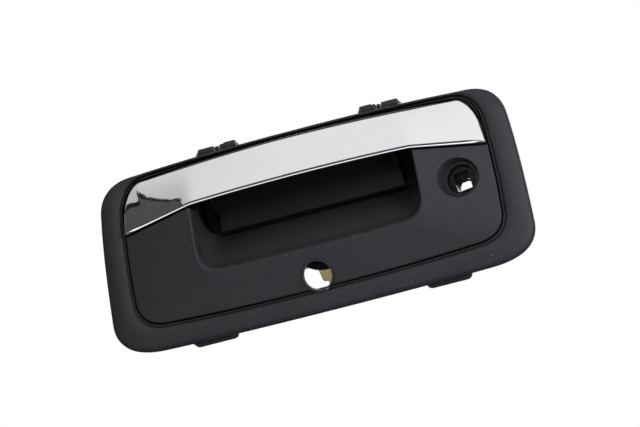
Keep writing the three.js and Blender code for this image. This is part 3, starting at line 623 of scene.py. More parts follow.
# Section from the outer rear edge over the crest to the bead beside the groove and back underneath: outlines,
# share of the way from one to the other, depth as a share of the crest plus a distance, and corner radius.
FRAME_SECTION = [
    (RIM, INNER, 0, 0, 0, 0.4),
    (RIM, INNER, 0.01, -0.55, 0, 1.2),
    (RIM, INNER, 0.1, -0.74, 0, 3),
    (RIM, INNER, 0.4, -0.93, 0, 6),
    (RIM, INNER, 0.74, -1, 0, 4),
    (INNER, GROOVE, 0, -1, 1.2, 2),
    (INNER, GROOVE, 0.34, -1, 3.4, 0.5),
    (INNER, GROOVE, 0.5, -1, 2.2, 0.7),
    (INNER, GROOVE, 0.72, -1, 2.5, 0.5),
    (INNER, GROOVE, 0.84, 0, -1.5, 0.3),
    (INNER, GROOVE, 0.2, 0, -1.5, 0.5),
    (RIM, INNER, 0.86, -1, 3.4, 1.5),
    (RIM, INNER, 0.46, -1, 4.2, 3),
    (RIM, INNER, 0.34, 0, 0, 0.4),
]
HOOK = {"x0": 85, "x1": 125.5, "y0": 3, "y1": 13, "top": -70, "low": -81.6}


def lower_hook(side):
    """Lobe behind the bottom rail that hooks into the tailgate skin, on a web from the rail."""
    left, right = sorted((side * HOOK["x0"], side * HOOK["x1"]))
    top, low = HOOK["top"], HOOK["low"]
    lobe = rounded([(left, top), (right, top), (right, low), (left, low)], [0.5, 0.5, 7, 7], steps=8)
    web = block(left + 5, right - 5, -2.6, HOOK["y0"] + 1, top - 5.4, top)
    return plate(lobe, HOOK["y0"], HOOK["y1"], 0.8), web


def notches(y0, y1, z0, z1):
    """Room for both hinge arms."""
    return [block(x - NOTCH_HALF, x + NOTCH_HALF, y0, y1, z0, z1) for x in (-ARM_X, ARM_X)]


def arm_slots(y0, y1, z0, z1):
    """Slots for both hinge arms and the crank lever."""
    return [*notches(y0, y1, z0, z1), block(LEVER["x0"] - 1.6, LEVER["x1"] + 1.6, y0, y1, z0, z1)]


def camera_round(radius, start, end):
    """Cylinder about the camera's tilted axis, from one distance behind the panel to another."""
    made = rod(0, 0, start, end, radius, sides=96)
    made.data.transform(Matrix.Rotation(math.radians(CAMERA["tilt"]), 4, "X"))
    return moved(made, CAMERA["x"], CAMERA["y"], CAMERA["z"])


def bezel_frame():
    rings = []
    for a, b, share, of_crest, extra, _ in FRAME_SECTION:
        points = mixed(a, b, share)
        rings.append(ring(points, of_crest * rim_crest(points) + extra))
    made = loft(filleted(rings, [row[-1] for row in FRAME_SECTION], closed=True, steps=3), closed=True)
    made = joined(made, *(part for side in (-1, 1) for part in lower_hook(side)))
    made = cut(made, camera_round(CAMERA["boss"] + GAP, -20, 8), *arm_slots(-2.6, 1, 74, 83))
    made = joined(made, *rods(FRAME_SCREWS, -8.6, -1.45, 3.4, edge=0.3))
    return cut(made, *rods(FRAME_SCREWS, -7, -1, PILOT_HOLE))


# ---- handle cover
COVER = {"kink": 99.5, "corner": 142, "thick": 2.6, "lip": 0.8, "roll": 1.1, "boss": 3}


def past(value, edge, blend=5):
    """How far a value is past an edge, with the corner softened."""
    over = np.clip(value - edge + blend, 0, 2 * blend)
    return np.where(value > edge + blend, value - edge, over**2 / (4 * blend))


def cover_top(x):
    x = np.abs(x)
    crown = 75.5 - 6 * (np.minimum(x, COVER["corner"]) / COVER["corner"]) ** 2
    out = np.clip((x - COVER["corner"]) / (COVER_HALF + 0.1 - COVER["corner"]), 0, 1)
    return np.where(out > 0, 26 + 43.5 * np.sqrt(1 - out**2), crown)


def cover_bottom(x):
    x = np.abs(x)
    bow = 2.2 * (np.minimum(x, COVER["kink"]) / COVER["kink"]) ** 2
    return 35.6 - bow - 0.132 * past(x, COVER["kink"], blend=1.5)


def cover_depth(x, t):
    """Depth of the outer face, t from 0 at the top edge to 1 at the bottom one."""
    wing = past(np.abs(x), COVER["kink"]) / (COVER_HALF - COVER["kink"])
    top = 12 - wing
    return top + (24.5 - 12 * wing - top) * (1 - (1 - t) ** 1.7)


def cover_columns():
    """Places across the cover, closer together at its round ends."""
    flat = np.linspace(0, COVER["corner"], 46)
    turn = np.sin(np.linspace(0, math.pi / 2, 15)[1:])
    half = np.concatenate([flat, COVER["corner"] + (COVER_HALF - COVER["corner"]) * turn])
    return np.concatenate([-half[:0:-1], half])


def cover_row(xs, t, set_back):
    z = cover_top(xs) + (cover_bottom(xs) - cover_top(xs)) * t
    return np.column_stack([xs, set_back - cover_depth(xs, t), z])


def cover_solid(thick):
    """Curved shell: down the outer face, round the rolled lip, and back up the inner face."""
    xs = cover_columns()
    outer = [(0, COVER["roll"], 0.5), (0.045, 0.12, 1.2)]
    outer += [(t, 0, 2) for t in np.linspace(0.1, 0.9, 15)]
    outer += [(0.935, 0, 0.5), (1, COVER["roll"], 0.7)]
    inner = [(1, thick, 0.3)]
    inner += [(t, thick, 2) for t in np.linspace(0.94, 0.06, 12)]
    inner += [(0, thick - COVER["lip"], 0.2)]
    rows = [cover_row(xs, t, set_back) for t, set_back, _ in outer + inner]
    rows = filleted(rows, [radius for *_, radius in outer + inner], closed=True, steps=3)
    return loft([np.array([row[i] for row in rows]) for i in range(len(xs))])


def handle_cover():
    made = joined(cover_solid(COVER["thick"]), *rods(COVER_SCREWS, -22, -15.5, COVER["boss"], edge=0.3))
    return cut(made, *rods(COVER_SCREWS, -19.6, -15, PILOT_HOLE))


def cover_outline(extra):
    xs = cover_columns()
    top = np.column_stack([xs, cover_top(xs)])
    low = np.column_stack([xs[::-1], cover_bottom(xs[::-1])])
    return grown(np.concatenate([top, low]), extra)


# ---- handle housing
# Section of the pocket's wall: share of the way from its front outline to its back one, depth and radius.
POCKET_SECTION = [
    (0.01, PANEL_CREST_Y, 3.2),
    (0.1, -19.4, 4),
    (0.2, -13, 8),
    (0.42, -5.5, 10),
    (0.7, 3.4, 8),
    (1, 12, 5),
]
CAVITY = {"half": 97.4, "front": ((-24, 37.6), (7.4, 13.2)), "top": 64}
EDGE_SHARE = 0.045


def panel_front(set_back):
    """Rings over the panel, from the groove in to the pocket's crest."""
    rings = [ring(GROOVE, PANEL_EDGE_Y + set_back)]
    for share in np.linspace(0.08, 0.94, 9):
        y = PANEL_EDGE_Y + (PANEL_CREST_Y + 0.2 - PANEL_EDGE_Y) * share
        rings.append(ring(mixed(GROOVE, POCKET, share), y + set_back))
    return rings, [1.1] + [0] * 8 + [2.5]


def pocket_rings(extra):
    """Rings down the pocket's wall, moved out and back by a wall's thickness."""
    rings = []
    for share, y, _ in POCKET_SECTION:
        rings.append(ring(grown(mixed(POCKET, POCKET_BACK, share), extra), y + extra))
    return rings, [radius for *_, radius in POCKET_SECTION]


def panel_block(set_back):
    """Solid behind the panel's surface, set back from it."""
    rings, _ = panel_front(set_back)
    return loft([ring(GROOVE, 2), *rings, ring(POCKET, PANEL_CREST_Y + set_back)])


def housing_shell():
    """Panel and pocket as one moulded skin with a constant wall."""
    front, front_radii = panel_front(0)
    wall, wall_radii = pocket_rings(0)
    back, back_radii = pocket_rings(WALL)
    rings = [
        ring(grown(POCKET_BACK, -6), POCKET_BACK_Y),
        ring(POCKET_BACK, POCKET_BACK_Y),
        *wall[::-1],
        *front[::-1],
        ring(GROOVE, 1.4),
        ring(mixed(GROOVE, POCKET, EDGE_SHARE), 1.4),
        ring(mixed(GROOVE, POCKET, EDGE_SHARE), PANEL_EDGE_Y + WALL + 0.4),
        ring(mixed(GROOVE, POCKET, 0.93), PANEL_CREST_Y + WALL + 0.6),
        *back,
        ring(grown(POCKET_BACK, WALL), POCKET_BACK_Y + WALL),
        ring(grown(POCKET_BACK, WALL - 6), POCKET_BACK_Y + WALL),
    ]
    radii = [0, 2.5, *wall_radii[::-1], *front_radii[::-1], 0.3, 0.3, 1.5, 1.5, *back_radii, 2.5, 0]
    return loft(filleted(rings, radii))


def cavity(extra):
    """Space that the handle swings in. Its lower front edge slopes, and shows at both ends of the pocket."""
    (y0, z0), (y1, z1) = CAVITY["front"]
    back, top, half = POCKET_BACK_Y + extra, CAVITY["top"] + extra, CAVITY["half"] + extra
    side = [(y0, z0 - 1.2 * extra), (y1, z1 - extra), (back, z1 - extra), (back, top), (-13, top), (y0, 52)]
    return prism(rounded(side, [0, 6 + extra, 2 + extra, 2 + extra, 3, 3]), -half, half, 1.2)


def pocket_space(extra):
    """Space of the hand pocket, reaching a little into its wall."""
    rings, radii = pocket_rings(extra)
    floor = POCKET_BACK_Y + extra
    rings = [ring(grown(POCKET, extra), -26), *rings]
    rings += [ring(grown(POCKET_BACK, extra), floor), ring(grown(POCKET_BACK, -6), floor)]
    return loft(filleted(rings, [0, 0, *radii[1:], 2.5, 0]))


def behind_panel():
    """Everything behind the panel's surface, so that bosses end inside its wall."""
    return joined(panel_block(1.2), block(-190, 190, 1.9, 60, -90, 90))


def inner_edge(y0, y1):
    """Space inside the housing's outer wall."""
    return plate(mixed(GROOVE, POCKET, EDGE_SHARE), y0, y1, 0)


def screw_ear(x, z):
    """Ear that carries a screw into the frame."""
    away = (x - math.copysign(14, x), z) if abs(x) > 100 else (x, z + 10)
    along = np.array(away) - (x, z)
    side = np.array([-along[1], along[0]]) / np.linalg.norm(along)
    arm = [(x, z) + side * 4.4, away + side * 6, away - side * 6, (x, z) - side * 4.4]
    return rod(x, z, -1.1, 1.4, 4.4, edge=0.3), plate(arm, -1.1, 1.4, 0)


KNUCKLES = ((57, 71.75), (75.45, 90.5))
COLLAR = {"x0": 57, "x1": 67, "radius": 6}
SLIDER_GUIDES = (58, 82)


def knuckle(side, span):
    """Hinge barrel on a web that rises behind the frame's top rail."""
    x0, x1 = sorted(side * x for x in span)
    web = [(-3.4, 60), (9, 60), (9, 78), (HINGE_Y + 4.6, HINGE_Z)]
    web += [(HINGE_Y - 4.4, HINGE_Z), (1.2, 80), (1.2, 74), (-3.4, 72)]
    return axle(HINGE_Y, HINGE_Z, x0, x1, 5.2, edge=0.5), prism(web, x0, x1, 0.4)


def slider_guide(x):
    """Foot with a window that the lock slider runs in."""
    y1, z0, z1 = SLIDER["y1"], SLIDER["z0"], SLIDER["z1"]
    foot = block(x - 4, x + 4, POCKET_BACK_Y, y1 + 2.6, z0 - 3, z1 + 3, 0.5)
    return cut(foot, block(x - 5, x + 5, SLIDER["y0"] - GAP, y1 + GAP, z0 - GAP, z1 + GAP))


def camera_rib():
    """Rib under the pocket, with a rounded lower edge that shows through the camera opening."""
    angles = np.linspace(math.pi * 1.25, math.pi * 1.75, 24)
    brow = [(5 + 28.8 * math.cos(a), -17 + 28.8 * math.sin(a)) for a in angles]
    made = joined(plate(brow, -2.4, 0.6, 0.4), block(-15.3, 25.3, -2.4, 0.6, -37.6, 0))
    return cut(made, block(-10, 15, -3, 1, -38.2, -27))


def lock_ribs():
    """Curved ribs on the roof of the lock tube."""
    ribs = []
    for y in (2, 6, 10):
        arc = rod(LOCK_X, 0, y, y + 1.5, LOCK["bore"] + 0.6)
        arc = cut(arc, rod(LOCK_X, 0, y - 1, y + 3, LOCK["bore"] - 1.6))
        ribs.append(common(arc, block(LOCK_X - 9, LOCK_X + 9, 0, 20, 4, 20)))
    return ribs


def handle_housing():
    made = housing_shell()
    flange = cut(plate(mixed(GROOVE, INNER, 1.25), -1.1, 1.4, 0.3), inner_edge(-2, 2))
    floor_block = common(plate(cover_outline(4), -FAR, RECESS_FLOOR[1], 0), panel_block(0.6))
    behind = behind_panel()
    solids = [
        flange,
        floor_block,
        common(cavity(WALL), copied(behind)),
        camera_round(CAMERA["boss"], -0.9, 3),
        common(rod(LOCK_X, 0, -25, -7, 24, 17), copied(behind)),
        rod(LOCK_X, 0, -8, LOCK["back"], LOCK["tube"], edge=0.5),
        rod(0, CRANK_Z, POCKET_BACK_Y, CRANK_FRONT - GAP, 9, edge=0.5),
    ]
    for x, z in FRAME_SCREWS:
        solids += [cut(part, inner_edge(-2, 2)) for part in screw_ear(x, z)]
    for side in (-1, 1):
        for span in KNUCKLES:
            solids += knuckle(side, span)
        x0, x1 = sorted((side * COLLAR["x0"], side * COLLAR["x1"]))
        solids.append(axle(HINGE_Y, HINGE_Z, x0, x1, COLLAR["radius"], edge=0.6))
    solids += [slider_guide(x) for x in SLIDER_GUIDES]
    bosses = rods(STUDS, -25, STUD_SEAT_Y, 8.5, edge=0.5) + rods(BRACKET_SCREWS, -22, 5.6, 4.6, edge=0.4)
    solids += [common(boss, copied(behind)) for boss in bosses]
    solids.append(camera_rib())
    additions = cut(joined(*solids), pocket_space(0.5))
    bpy.data.objects.remove(behind)
    made = cut(
        joined(made, additions),
        plate(cover_outline(1.6), -FAR, RECESS_FLOOR[0], 0),
        cavity(0),
        camera_round(CAMERA["hole"], -20, 6),
        block(CAMERA["x"] - 15, CAMERA["x"] + 15, -1.3, 1.6, -70, -58),
        rod(LOCK_X, 0, -24, LOCK["seat"], 20.6, 15.2, sides=96),
        rod(LOCK_X, 0, LOCK["seat"] - 1, LOCK["back"] + 1, LOCK["bore"], sides=96),
        *arm_slots(-7, 12, 54, 80),
        *notches(-7, 14, 74, 92),
        axle(HINGE_Y, HINGE_Z, -95, -50, HINGE_BORE),
        axle(HINGE_Y, HINGE_Z, 50, 95, HINGE_BORE),
        rod(0, CRANK_Z, POCKET_BACK_Y - 1, CRANK_FRONT + 1, 2.6),
    )
    clip_slot = block(LOCK_X - 20, LOCK_X + 20, CLIP_SLOT[0] - GAP, CLIP_SLOT[1] + GAP, 6, 24)
    made = cut(joined(made, *lock_ribs()), clip_slot)
    made = cut(
        made,
        *rods(BRACKET_SCREWS, -8, 8, SCREW_HOLE, sides=24),
        *rods(STUDS, -6, STUD_SEAT_Y + 1, STUD_HOLE, sides=32),
        *rods(FRAME_SCREWS, -3, 3, SCREW_HOLE, sides=24),
        *rods(BUMPERS, -8, 0, BUMPER_HOLE, sides=24),
    )
    post_x, post_z = SPRING["post"]
    return joined(made, rod(post_x, post_z, POCKET_BACK_Y, SPRING_FRONT + 4, 2.4, edge=0.5))


# ---- handle core
CHANNEL = (
    (-12, 71.4), (-16, 64), (-19, 55), (-21.4, 45.4), (-22, 38.4),
    (-18, 38.4), (-16.4, 46), (-14, 52), (-11, 54.8),
    (2.4, 54.8), (4, 24.6), (8.4, 12.4),
    (11, 13), (6.8, 25.4), (5.2, 58.2), (-7, 58.2), (-7.6, 71.4),
)
CHANNEL_RADII = (0.6, 4, 6, 4, 0.6, 0.6, 4, 4, 3, 3, 1.6, 0.7, 0.7, 3, 2, 2, 0.6)
CHEEK = (
    (-16, 62), (-19, 55), (-21.4, 45.4), (-22, 38.4), (-18, 38.4),
    (-8, 30), (4, 24.6), (6.8, 25.4), (5.2, 58.2), (-7, 58.2),
)


def handle_core():
    """Finger channel behind the cover, with its end cheeks, hinge arms and crank lever."""
    made = prism(rounded(CHANNEL, CHANNEL_RADII, 6), -CORE_HALF, CORE_HALF, 0.5)
    solids = []
    for side in (-1, 1):
        x0, x1 = sorted((side * (CORE_HALF - 2.4), side * CORE_HALF))
        solids.append(prism(rounded(CHEEK, 1.2), x0, x1, 0.5))
        arm = [(3.2, 55), (7.6, 55), (9.6, 76), (HINGE_Y + 4.2, HINGE_Z - 2), (HINGE_Y + 3, HINGE_Z + 4.2)]
        arm += [(HINGE_Y - 3, HINGE_Z + 4.2), (HINGE_Y - 4.2, HINGE_Z - 2), (3.2, 77)]
        x = side * ARM_X
        solids.append(prism(rounded(arm, [0, 0, 4, 3, 3.4, 3.4, 3, 2]), x - ARM_HALF, x + ARM_HALF, 0.4))
    low, high, back = LEVER["low"], LEVER["high"], LEVER["back"]
    lever = [(3.2, 55), (6.6, 55), (7.6, low - 3), (10, low)]
    lever += [(back, low), (back, high), (4.2, high), (3.2, high - 1)]
    solids.append(prism(rounded(lever, [0, 0, 2, 2, 0.8, 0.8, 0.6, 0.4]), LEVER["x0"], LEVER["x1"], 0.4))
    made = joined(made, *solids)
    return cut(
        made,
        cover_solid(COVER["thick"] + GAP),
        axle(HINGE_Y, HINGE_Z, -80, 80, HINGE_BORE),
        *rods(COVER_SCREWS, -24, -12, COVER["boss"] + GAP, sides=32),
    )


# ---- crank, lock and camera parts
CRANK = {"thick": 2.5, "arm": 24, "peg": (22, 73.2), "peg_r": 2.5}
CRANK_BACK = CRANK_FRONT + CRANK["thick"]
SPRING_FRONT = CRANK_BACK + 1.3
SPRING = {"radius": 6.6, "wire": 0.75, "turns": 3, "pitch": 1.85, "post": (-29, 34)}
WASHER_FRONT = SPRING_FRONT + SPRING["turns"] * SPRING["pitch"] + SPRING["wire"] + 0.4
ROTOR_SLOT = {"half": 6.6, "low": -9.4, "high": 7, "turn": math.radians(7.5)}
ROTOR_PIN = {"radius": 17, "swing": math.radians(40)}
PIN_X = LOCK_X - ROTOR_PIN["radius"] * math.sin(ROTOR_PIN["swing"])
PIN_Z = ROTOR_PIN["radius"] * math.cos(ROTOR_PIN["swing"])


def limb(x0, z0, w0, x1, z1, w1, front, back):
    """Tapered flat limb between two points, with a half width at each."""
    along = np.array((x1 - x0, z1 - z0), float)
    side = np.array((-along[1], along[0])) / np.linalg.norm(along)
    start, end = np.array((x0, z0)), np.array((x1, z1))
    return plate([start + side * w0, end + side * w1, end - side * w1, start - side * w0], front, back, 0.3)


def bell_crank():
    """Stamped plate with a boss, two rod arms and the peg that the handle's lever lifts."""
    (peg_x, peg_z), front, back, span = CRANK["peg"], CRANK_FRONT, CRANK_BACK, CRANK["arm"]
    made = joined(
        rod(0, CRANK_Z, front, back, 11, edge=0.35),
        *(rod(0, CRANK_Z + side * span, front, back, 6.4, edge=0.35) for side in (-1, 1)),
        *(limb(0, CRANK_Z, 9, 0, CRANK_Z + side * span, 5.6, front, back) for side in (-1, 1)),
        limb(5, CRANK_Z + 6, 6, peg_x, peg_z, 3.3, front, back),
        rod(peg_x, peg_z, front, back, 3.4, edge=0.35),
        rod(peg_x, peg_z, front, 31, CRANK["peg_r"], edge=0.5),
    )
    holes = [rod(0, CRANK_Z, 20, 26, 3.6)]
    holes += [rod(0, CRANK_Z + side * span, 20, 26, 3.2) for side in (-1, 1)]
    return cut(made, *holes)


def rod_clip(z):
    """Nylon clip for a latch rod: snap barrel through the crank, a collar, and a slotted rod socket."""
    rows = [
        (20.3, 1.6), (20.3, 2.4), (20.9, 2.8), (CRANK_BACK + GAP, 2.8), (CRANK_BACK + GAP, 5),
        (CRANK_BACK + 1.5, 5), (CRANK_BACK + 2, 4.4), (CRANK_BACK + 2, 2.8), (27, 2.8), (27, 4),
        (29.8, 3.7), (30.5, 3.2), (30.5, 1.6), (24.2, 1.6), (24, 1.2), (22, 1.2),
    ]
    return turned(0, z, rows, 48, closed=True)


def pivot_screw():
    """Shoulder screw: shank in the boss, shoulder through the crank, hexagonal head with a dished top."""
    tip, head = POCKET_BACK_Y + 1, WASHER_FRONT + 1.7
    rows = [
        (tip, 0), (tip, 1.7), (tip + 0.5, 2.2), (CRANK_FRONT - 0.1, 2.2), (CRANK_FRONT - 0.1, 3.2),
        (head, 3.2), (head, 6.4, 1), (head + 3.1, 6.4, 1), (head + 3.7, 5.3, 0.2),
        (head + 3.7, 3.2), (head + 3.2, 2.6), (head + 3.1, 0),
    ]
    return turned(0, CRANK_Z, rows, 96)


def washer(x, z, front, thick, outer, inner):
    back, edge = front + thick, 0.2
    rows = [(front, inner + edge), (front, outer - edge), (front + edge, outer), (back - edge, outer)]
    rows += [(back, outer - edge), (back, inner + edge), (back - edge, inner), (front + edge, inner)]
    return turned(x, z, rows, closed=True)


def swept(points, radius):
    """Round wire along a list of points, closed at its ends."""
    curve = bpy.data.curves.new("wire", "CURVE")
    curve.dimensions = "3D"
    curve.bevel_depth = radius
    curve.bevel_resolution = 2
    curve.use_fill_caps = True
    spline = curve.splines.new("POLY")
    spline.points.add(len(points) - 1)
    for target, point in zip(spline.points, points):
        target.co = (*map(float, point), 1)
    drawn = linked("wire", curve)
    mesh = evaluated(drawn)
    bpy.data.objects.remove(drawn)
    return linked("wire", mesh)


def curve_through(points, steps):
    """Catmull-Rom curve through the points."""
    points = np.array(points, float)
    points = np.concatenate([[2 * points[0] - points[1]], points, [2 * points[-1] - points[-2]]])
    out = []
    for a, b, c, d in zip(points, points[1:], points[2:], points[3:]):
        square, cube = 2 * a - 5 * b + 4 * c - d, 3 * b - a - 3 * c + d
        for t in np.arange(steps) / steps:
            out.append(0.5 * (2 * b + (c - a) * t + square * t**2 + cube * t**3))
    return [*out, points[-2]]


def crank_spring():
    """Torsion spring on the crank's pivot, one leg on the housing's post and one on the crank."""
    front, radius = SPRING_FRONT, SPRING["radius"]
    points = [(-26, front, CRANK_Z - 4), (-14, front, CRANK_Z - 6)]
    per_turn = 20
    for i in range(SPRING["turns"] * per_turn + 1):
        angle = 2 * math.pi * (i / per_turn - 0.25)
        y = front + i / per_turn * SPRING["pitch"]
        points.append((radius * math.cos(angle), y, CRANK_Z + radius * math.sin(angle)))
    back = front + SPRING["turns"] * SPRING["pitch"]
    points += [(12, back, CRANK_Z - 4), (19, back, CRANK_Z + 8)]
    return swept(curve_through(points, 3), SPRING["wire"])


def lock_fin(low):
    """Arched fin across the rotor's slot."""
    xs = np.linspace(-8, 8, 17)
    arch = low + 1.3 * np.cos(xs / 8 * math.pi / 2)
    under = np.column_stack([LOCK_X + xs, arch])
    over = np.column_stack([LOCK_X + xs[::-1], arch + 0.8])
    return plate(np.concatenate([over, under]), 0.5, 5.5, edge=0.15)


def lock_rotor():
    """Slotted plate, fins across the slot, two side walls, and an arm at the back with the slider's pin."""
    outer, bore, back = LOCK["bore"] - 1.75, LOCK["bore"], LOCK["back"]
    inner = outer - 1.7
    half, low, high, turn = (ROTOR_SLOT[key] for key in ("half", "low", "high", "turn"))
    corners = []
    for x, z in ((-half, low), (-half, high), (half, high), (half, low)):
        across = x * math.cos(turn) - z * math.sin(turn)
        corners.append((LOCK_X + across, x * math.sin(turn) + z * math.cos(turn)))
    slot = rounded(corners, 1)
    face = cut(rod(LOCK_X, 0, -5.4, -2.8, bore - GAP, edge=0.4), plate(slot, -8, 0, 0))
    tube = cut(
        rod(LOCK_X, 0, -3, back + 3, outer),
        rod(LOCK_X, 0, -2.8, 30, inner),
        plate(slot, -8, 0, 0),
        block(LOCK_X - 7.4, LOCK_X + 7.4, -2.8, 18.4, -20, 20),
    )
    arm = joined(
        rod(LOCK_X, 0, back + 0.5, back + 3, 14.4, edge=0.4),
        limb((LOCK_X + PIN_X) / 2, PIN_Z / 2, 8, PIN_X, PIN_Z, 4.2, back + 0.5, back + 3),
        rod(PIN_X, PIN_Z, back + 0.5, back + 3, 4.4, edge=0.4),
        rod(PIN_X, PIN_Z, back + 2, SLIDER["y1"] + 1.6, 2.5, edge=0.5),
    )
    fins = [lock_fin(low) for low in (-0.4, 2, 4.4, 6.6)]
    return joined(face, tube, *fins, cut(arm, rod(LOCK_X, 0, back - 2, back + 8, inner)))


def lock_slider():
    """Flat bar with an upright slot for the rotor's pin and a hooked inner end."""
    x0, y0, y1, z0, z1 = (SLIDER[key] for key in ("x0", "y0", "y1", "z0", "z1"))
    made = joined(
        block(x0, PIN_X, y0, y1, z0, z1, 0.3),
        block(PIN_X - 6.4, PIN_X + 6.4, y0, y1, z0 - 2.4, z1, 0.4),
        block(x0, x0 + 3, y0, y1 + 4, z0, z1, 0.5),
    )
    return cut(made, block(PIN_X - 3.2, PIN_X + 3.2, y0 - 1, y1 + 1, z0, z1 - 2.6, 0.9))


def lock_clip():
    """Spring-steel clip that keeps the lock cylinder in its tube: a U pushed in from above."""
    y0, y1 = CLIP_SLOT
    return cut(
        block(LOCK_X - 18, LOCK_X + 18, y0, y1, 7, 23, 0.25),
        rod(LOCK_X, 0, 10, 20, LOCK["bore"] - 1.2),
        block(LOCK_X - 11.8, LOCK_X + 11.8, 10, 20, -2, 7),
    )


def camera_bracket():
    """Bracket that the camera snaps into: a bar across the opening and a stepped leg below it."""
    leg = [(-5.8, -38), (18, -38), (18, -50), (14, -59), (3.6, -59), (1.6, -53), (-2.6, -52.2)]
    made = joined(
        block(-32, 32, 6, 8.6, -38.2, -31, 0.6),
        plate(rounded(leg, [0.4, 0.4, 2, 2, 1, 0.8, 0.6]), 6, 10.4, 0.4),
    )
    return cut(made, *rods(BRACKET_SCREWS, 0, 14, 2.3))


# ---- fasteners
def screw(x, z, y0, y1, shank, head):
    """Thread-forming screw driven from behind: pointed shank, washer flange and dished hexagon head."""
    hexagon = head * 0.66
    rows = [
        (y0, 0), (y0 + 0.2, shank * 0.5), (y0 + 1.2, shank), (y1 - 0.3, shank), (y1, shank + 0.3),
        (y1, head - 0.2), (y1 + 0.25, head), (y1 + 0.7, head), (y1 + 1, hexagon + 0.5),
        (y1 + 1.1, hexagon, 1), (y1 + 2.6, hexagon, 1), (y1 + 3, hexagon * 0.82, 0.2),
        (y1 + 3, hexagon * 0.55), (y1 + 2.3, hexagon * 0.36), (y1 + 2.2, 0),
    ]
    return turned(x, z, rows, 60)


def threaded(x, z, y0, y1, radius, pitch, depth):
    """Stud with a helical thread, tapering off at its tip."""
    angle = full_turn(36)
    rings = [wheel(x, z, y0, angle, 0.4 * radius)]
    for y in np.arange(y0, y1 + 1e-6, pitch / 6):
        wave = np.abs(((y / pitch - angle / (2 * math.pi)) % 1) * 2 - 1)
        size = (radius - depth * wave) * (1 - 0.28 * ramp(y, y1 - 2, y1))
        rings.append(wheel(x, z, y, angle, size))
    return loft(rings)


def stud(x, z):
    """Stud moulded into its boss, with a round collar against the boss and a thread behind it."""
    seat = STUD_SEAT_Y
    collar = [(seat + GAP, 0), (seat + GAP, 6.4), (seat + GAP + 0.3, 6.6), (seat + 1.6, 6.6), (seat + 2, 6.2)]
    collar += [(seat + 2, 3.4), (seat + 2.4, 2.9), (seat + 3, 2.8), (seat + 3, 0)]
    thread = threaded(x, z, seat + 2.2, seat + 20, 2.9, 1.0, 0.42)
    return joined(turned(x, z, collar), thread, rod(x, z, -5.6, seat + 1, 2.9))


def bumper(x, z):
    """Push-in bumper: domed head, neck through the recess floor, and barb behind it."""
    seat, barb = RECESS_FLOOR[0] - GAP, RECESS_FLOOR[1] + GAP
    rows = [
        (-12.6, 0), (-12.5, 1.6), (-12, 2.9), (-11.2, 3.5), (seat - 0.5, 4.5), (seat - 0.1, 4.6),
        (seat, 4.3), (seat, 2), (barb, 2), (barb, 3.1), (barb + 0.3, 3.2), (-1.2, 2.3), (-1, 1.8), (-1, 0),
    ]
    return turned(x, z, rows, 48)


def on_hinge(side, rows, closed=False):
    """Solid turned about the hinge line, with distances from the middle towards one side."""
    made = turned(0, 0, rows, 40, closed)
    return moved(turned_onto(made, (side, 0, 0)), 0, HINGE_Y, HINGE_Z)


def hinge_pin(side):
    """Pin along the hinge line with a domed head at its inner end and a chamfered tip."""
    rows = [
        (54.6, 0), (54.65, 1.5), (55, 2.7), (55.6, 3.3), (56.1, 3.3), (56.4, 3), (56.4, 1.9),
        (92.8, 1.9), (93.6, 1.3), (93.6, 0),
    ]
    return on_hinge(side, rows)


def pin_retainer(side):
    """Push-on retainer with a shallow cone."""
    rows = [(91.1, 2.2), (91.1, 3.2), (91.3, 3.4), (91.6, 3.4), (91.8, 3.2), (92.1, 2.7), (92.1, 2.2)]
    return on_hinge(side, rows, closed=True)


# ---- assembly
piece("frame_moulding", bezel_frame(), "bezel_frame")
piece("housing_moulding", handle_housing(), "handle_housing")
piece("plated_cover", handle_cover(), "handle_cover")
piece("channel_moulding", handle_core(), "handle_core")
piece("crank_plate", bell_crank(), "bell_crank")
piece("upper_rod_clip", rod_clip(CRANK_Z + CRANK["arm"]), "rod_clip_upper")
piece("lower_rod_clip", rod_clip(CRANK_Z - CRANK["arm"]), "rod_clip_lower")
piece("shoulder_screw", pivot_screw(), "crank_pivot_screw")
piece("pivot_washer", washer(0, CRANK_Z, WASHER_FRONT, 1.3, 9.4, 3.6), "crank_washer")
piece("return_spring", crank_spring(), "crank_spring")
piece("rotor_moulding", lock_rotor(), "lock_rotor")
piece("slider_bar", lock_slider(), "lock_slider")
piece("retaining_clip", lock_clip(), "lock_retaining_clip")
piece("bracket_moulding", camera_bracket(), "camera_bracket")
for name, side in SIDES.items():
    piece(f"{name}_hinge_pin", hinge_pin(side), f"hinge_pin_{name}")
    piece(f"{name}_pin_retainer", pin_retainer(side), f"pin_retainer_{name}")
for name, (x, z) in zip(SIDES, BUMPERS):
    piece(f"{name}_bumper", bumper(x, z), f"handle_bumper_{name}")
for name, (x, z) in zip(SIDES, BRACKET_SCREWS):
    piece(f"{name}_bracket_screw", screw(x, z, -6, 8.6 + GAP, 1.5, 4.2), f"bracket_screw_{name}")
for i, (x, z) in enumerate(COVER_SCREWS, 1):
    piece(f"cover_fixing_{i}", screw(x, z, -19.2, -15.5 + GAP, 1.3, 3.4), f"cover_screw_{i}")
for i, (x, z) in enumerate(FRAME_SCREWS, 1):
    piece(f"frame_fixing_{i}", screw(x, z, -6.4, 1.4 + GAP, 1.3, 3.6), f"frame_screw_{i}")
for i, (x, z) in enumerate(STUDS, 1):
    piece(f"threaded_stud_{i}", stud(x, z), f"mount_stud_{i}")


# ---- stage, light and camera
def plain(name, value, roughness, glow=0.0):
    """Faintly clouded grey that may glow."""
    material, shader, fill, node = shader_nodes(name)
    clouds = noise(node, place_of(node), 400, detail=2)
    fill(shader, {
        "Base Color": blended(node, clouds, grey(value), grey(0.96 * value)),
        "Roughness": roughness,
        "Emission Color": (1, 1, 1, 1),
        "Emission Strength": glow,
    })
    return material


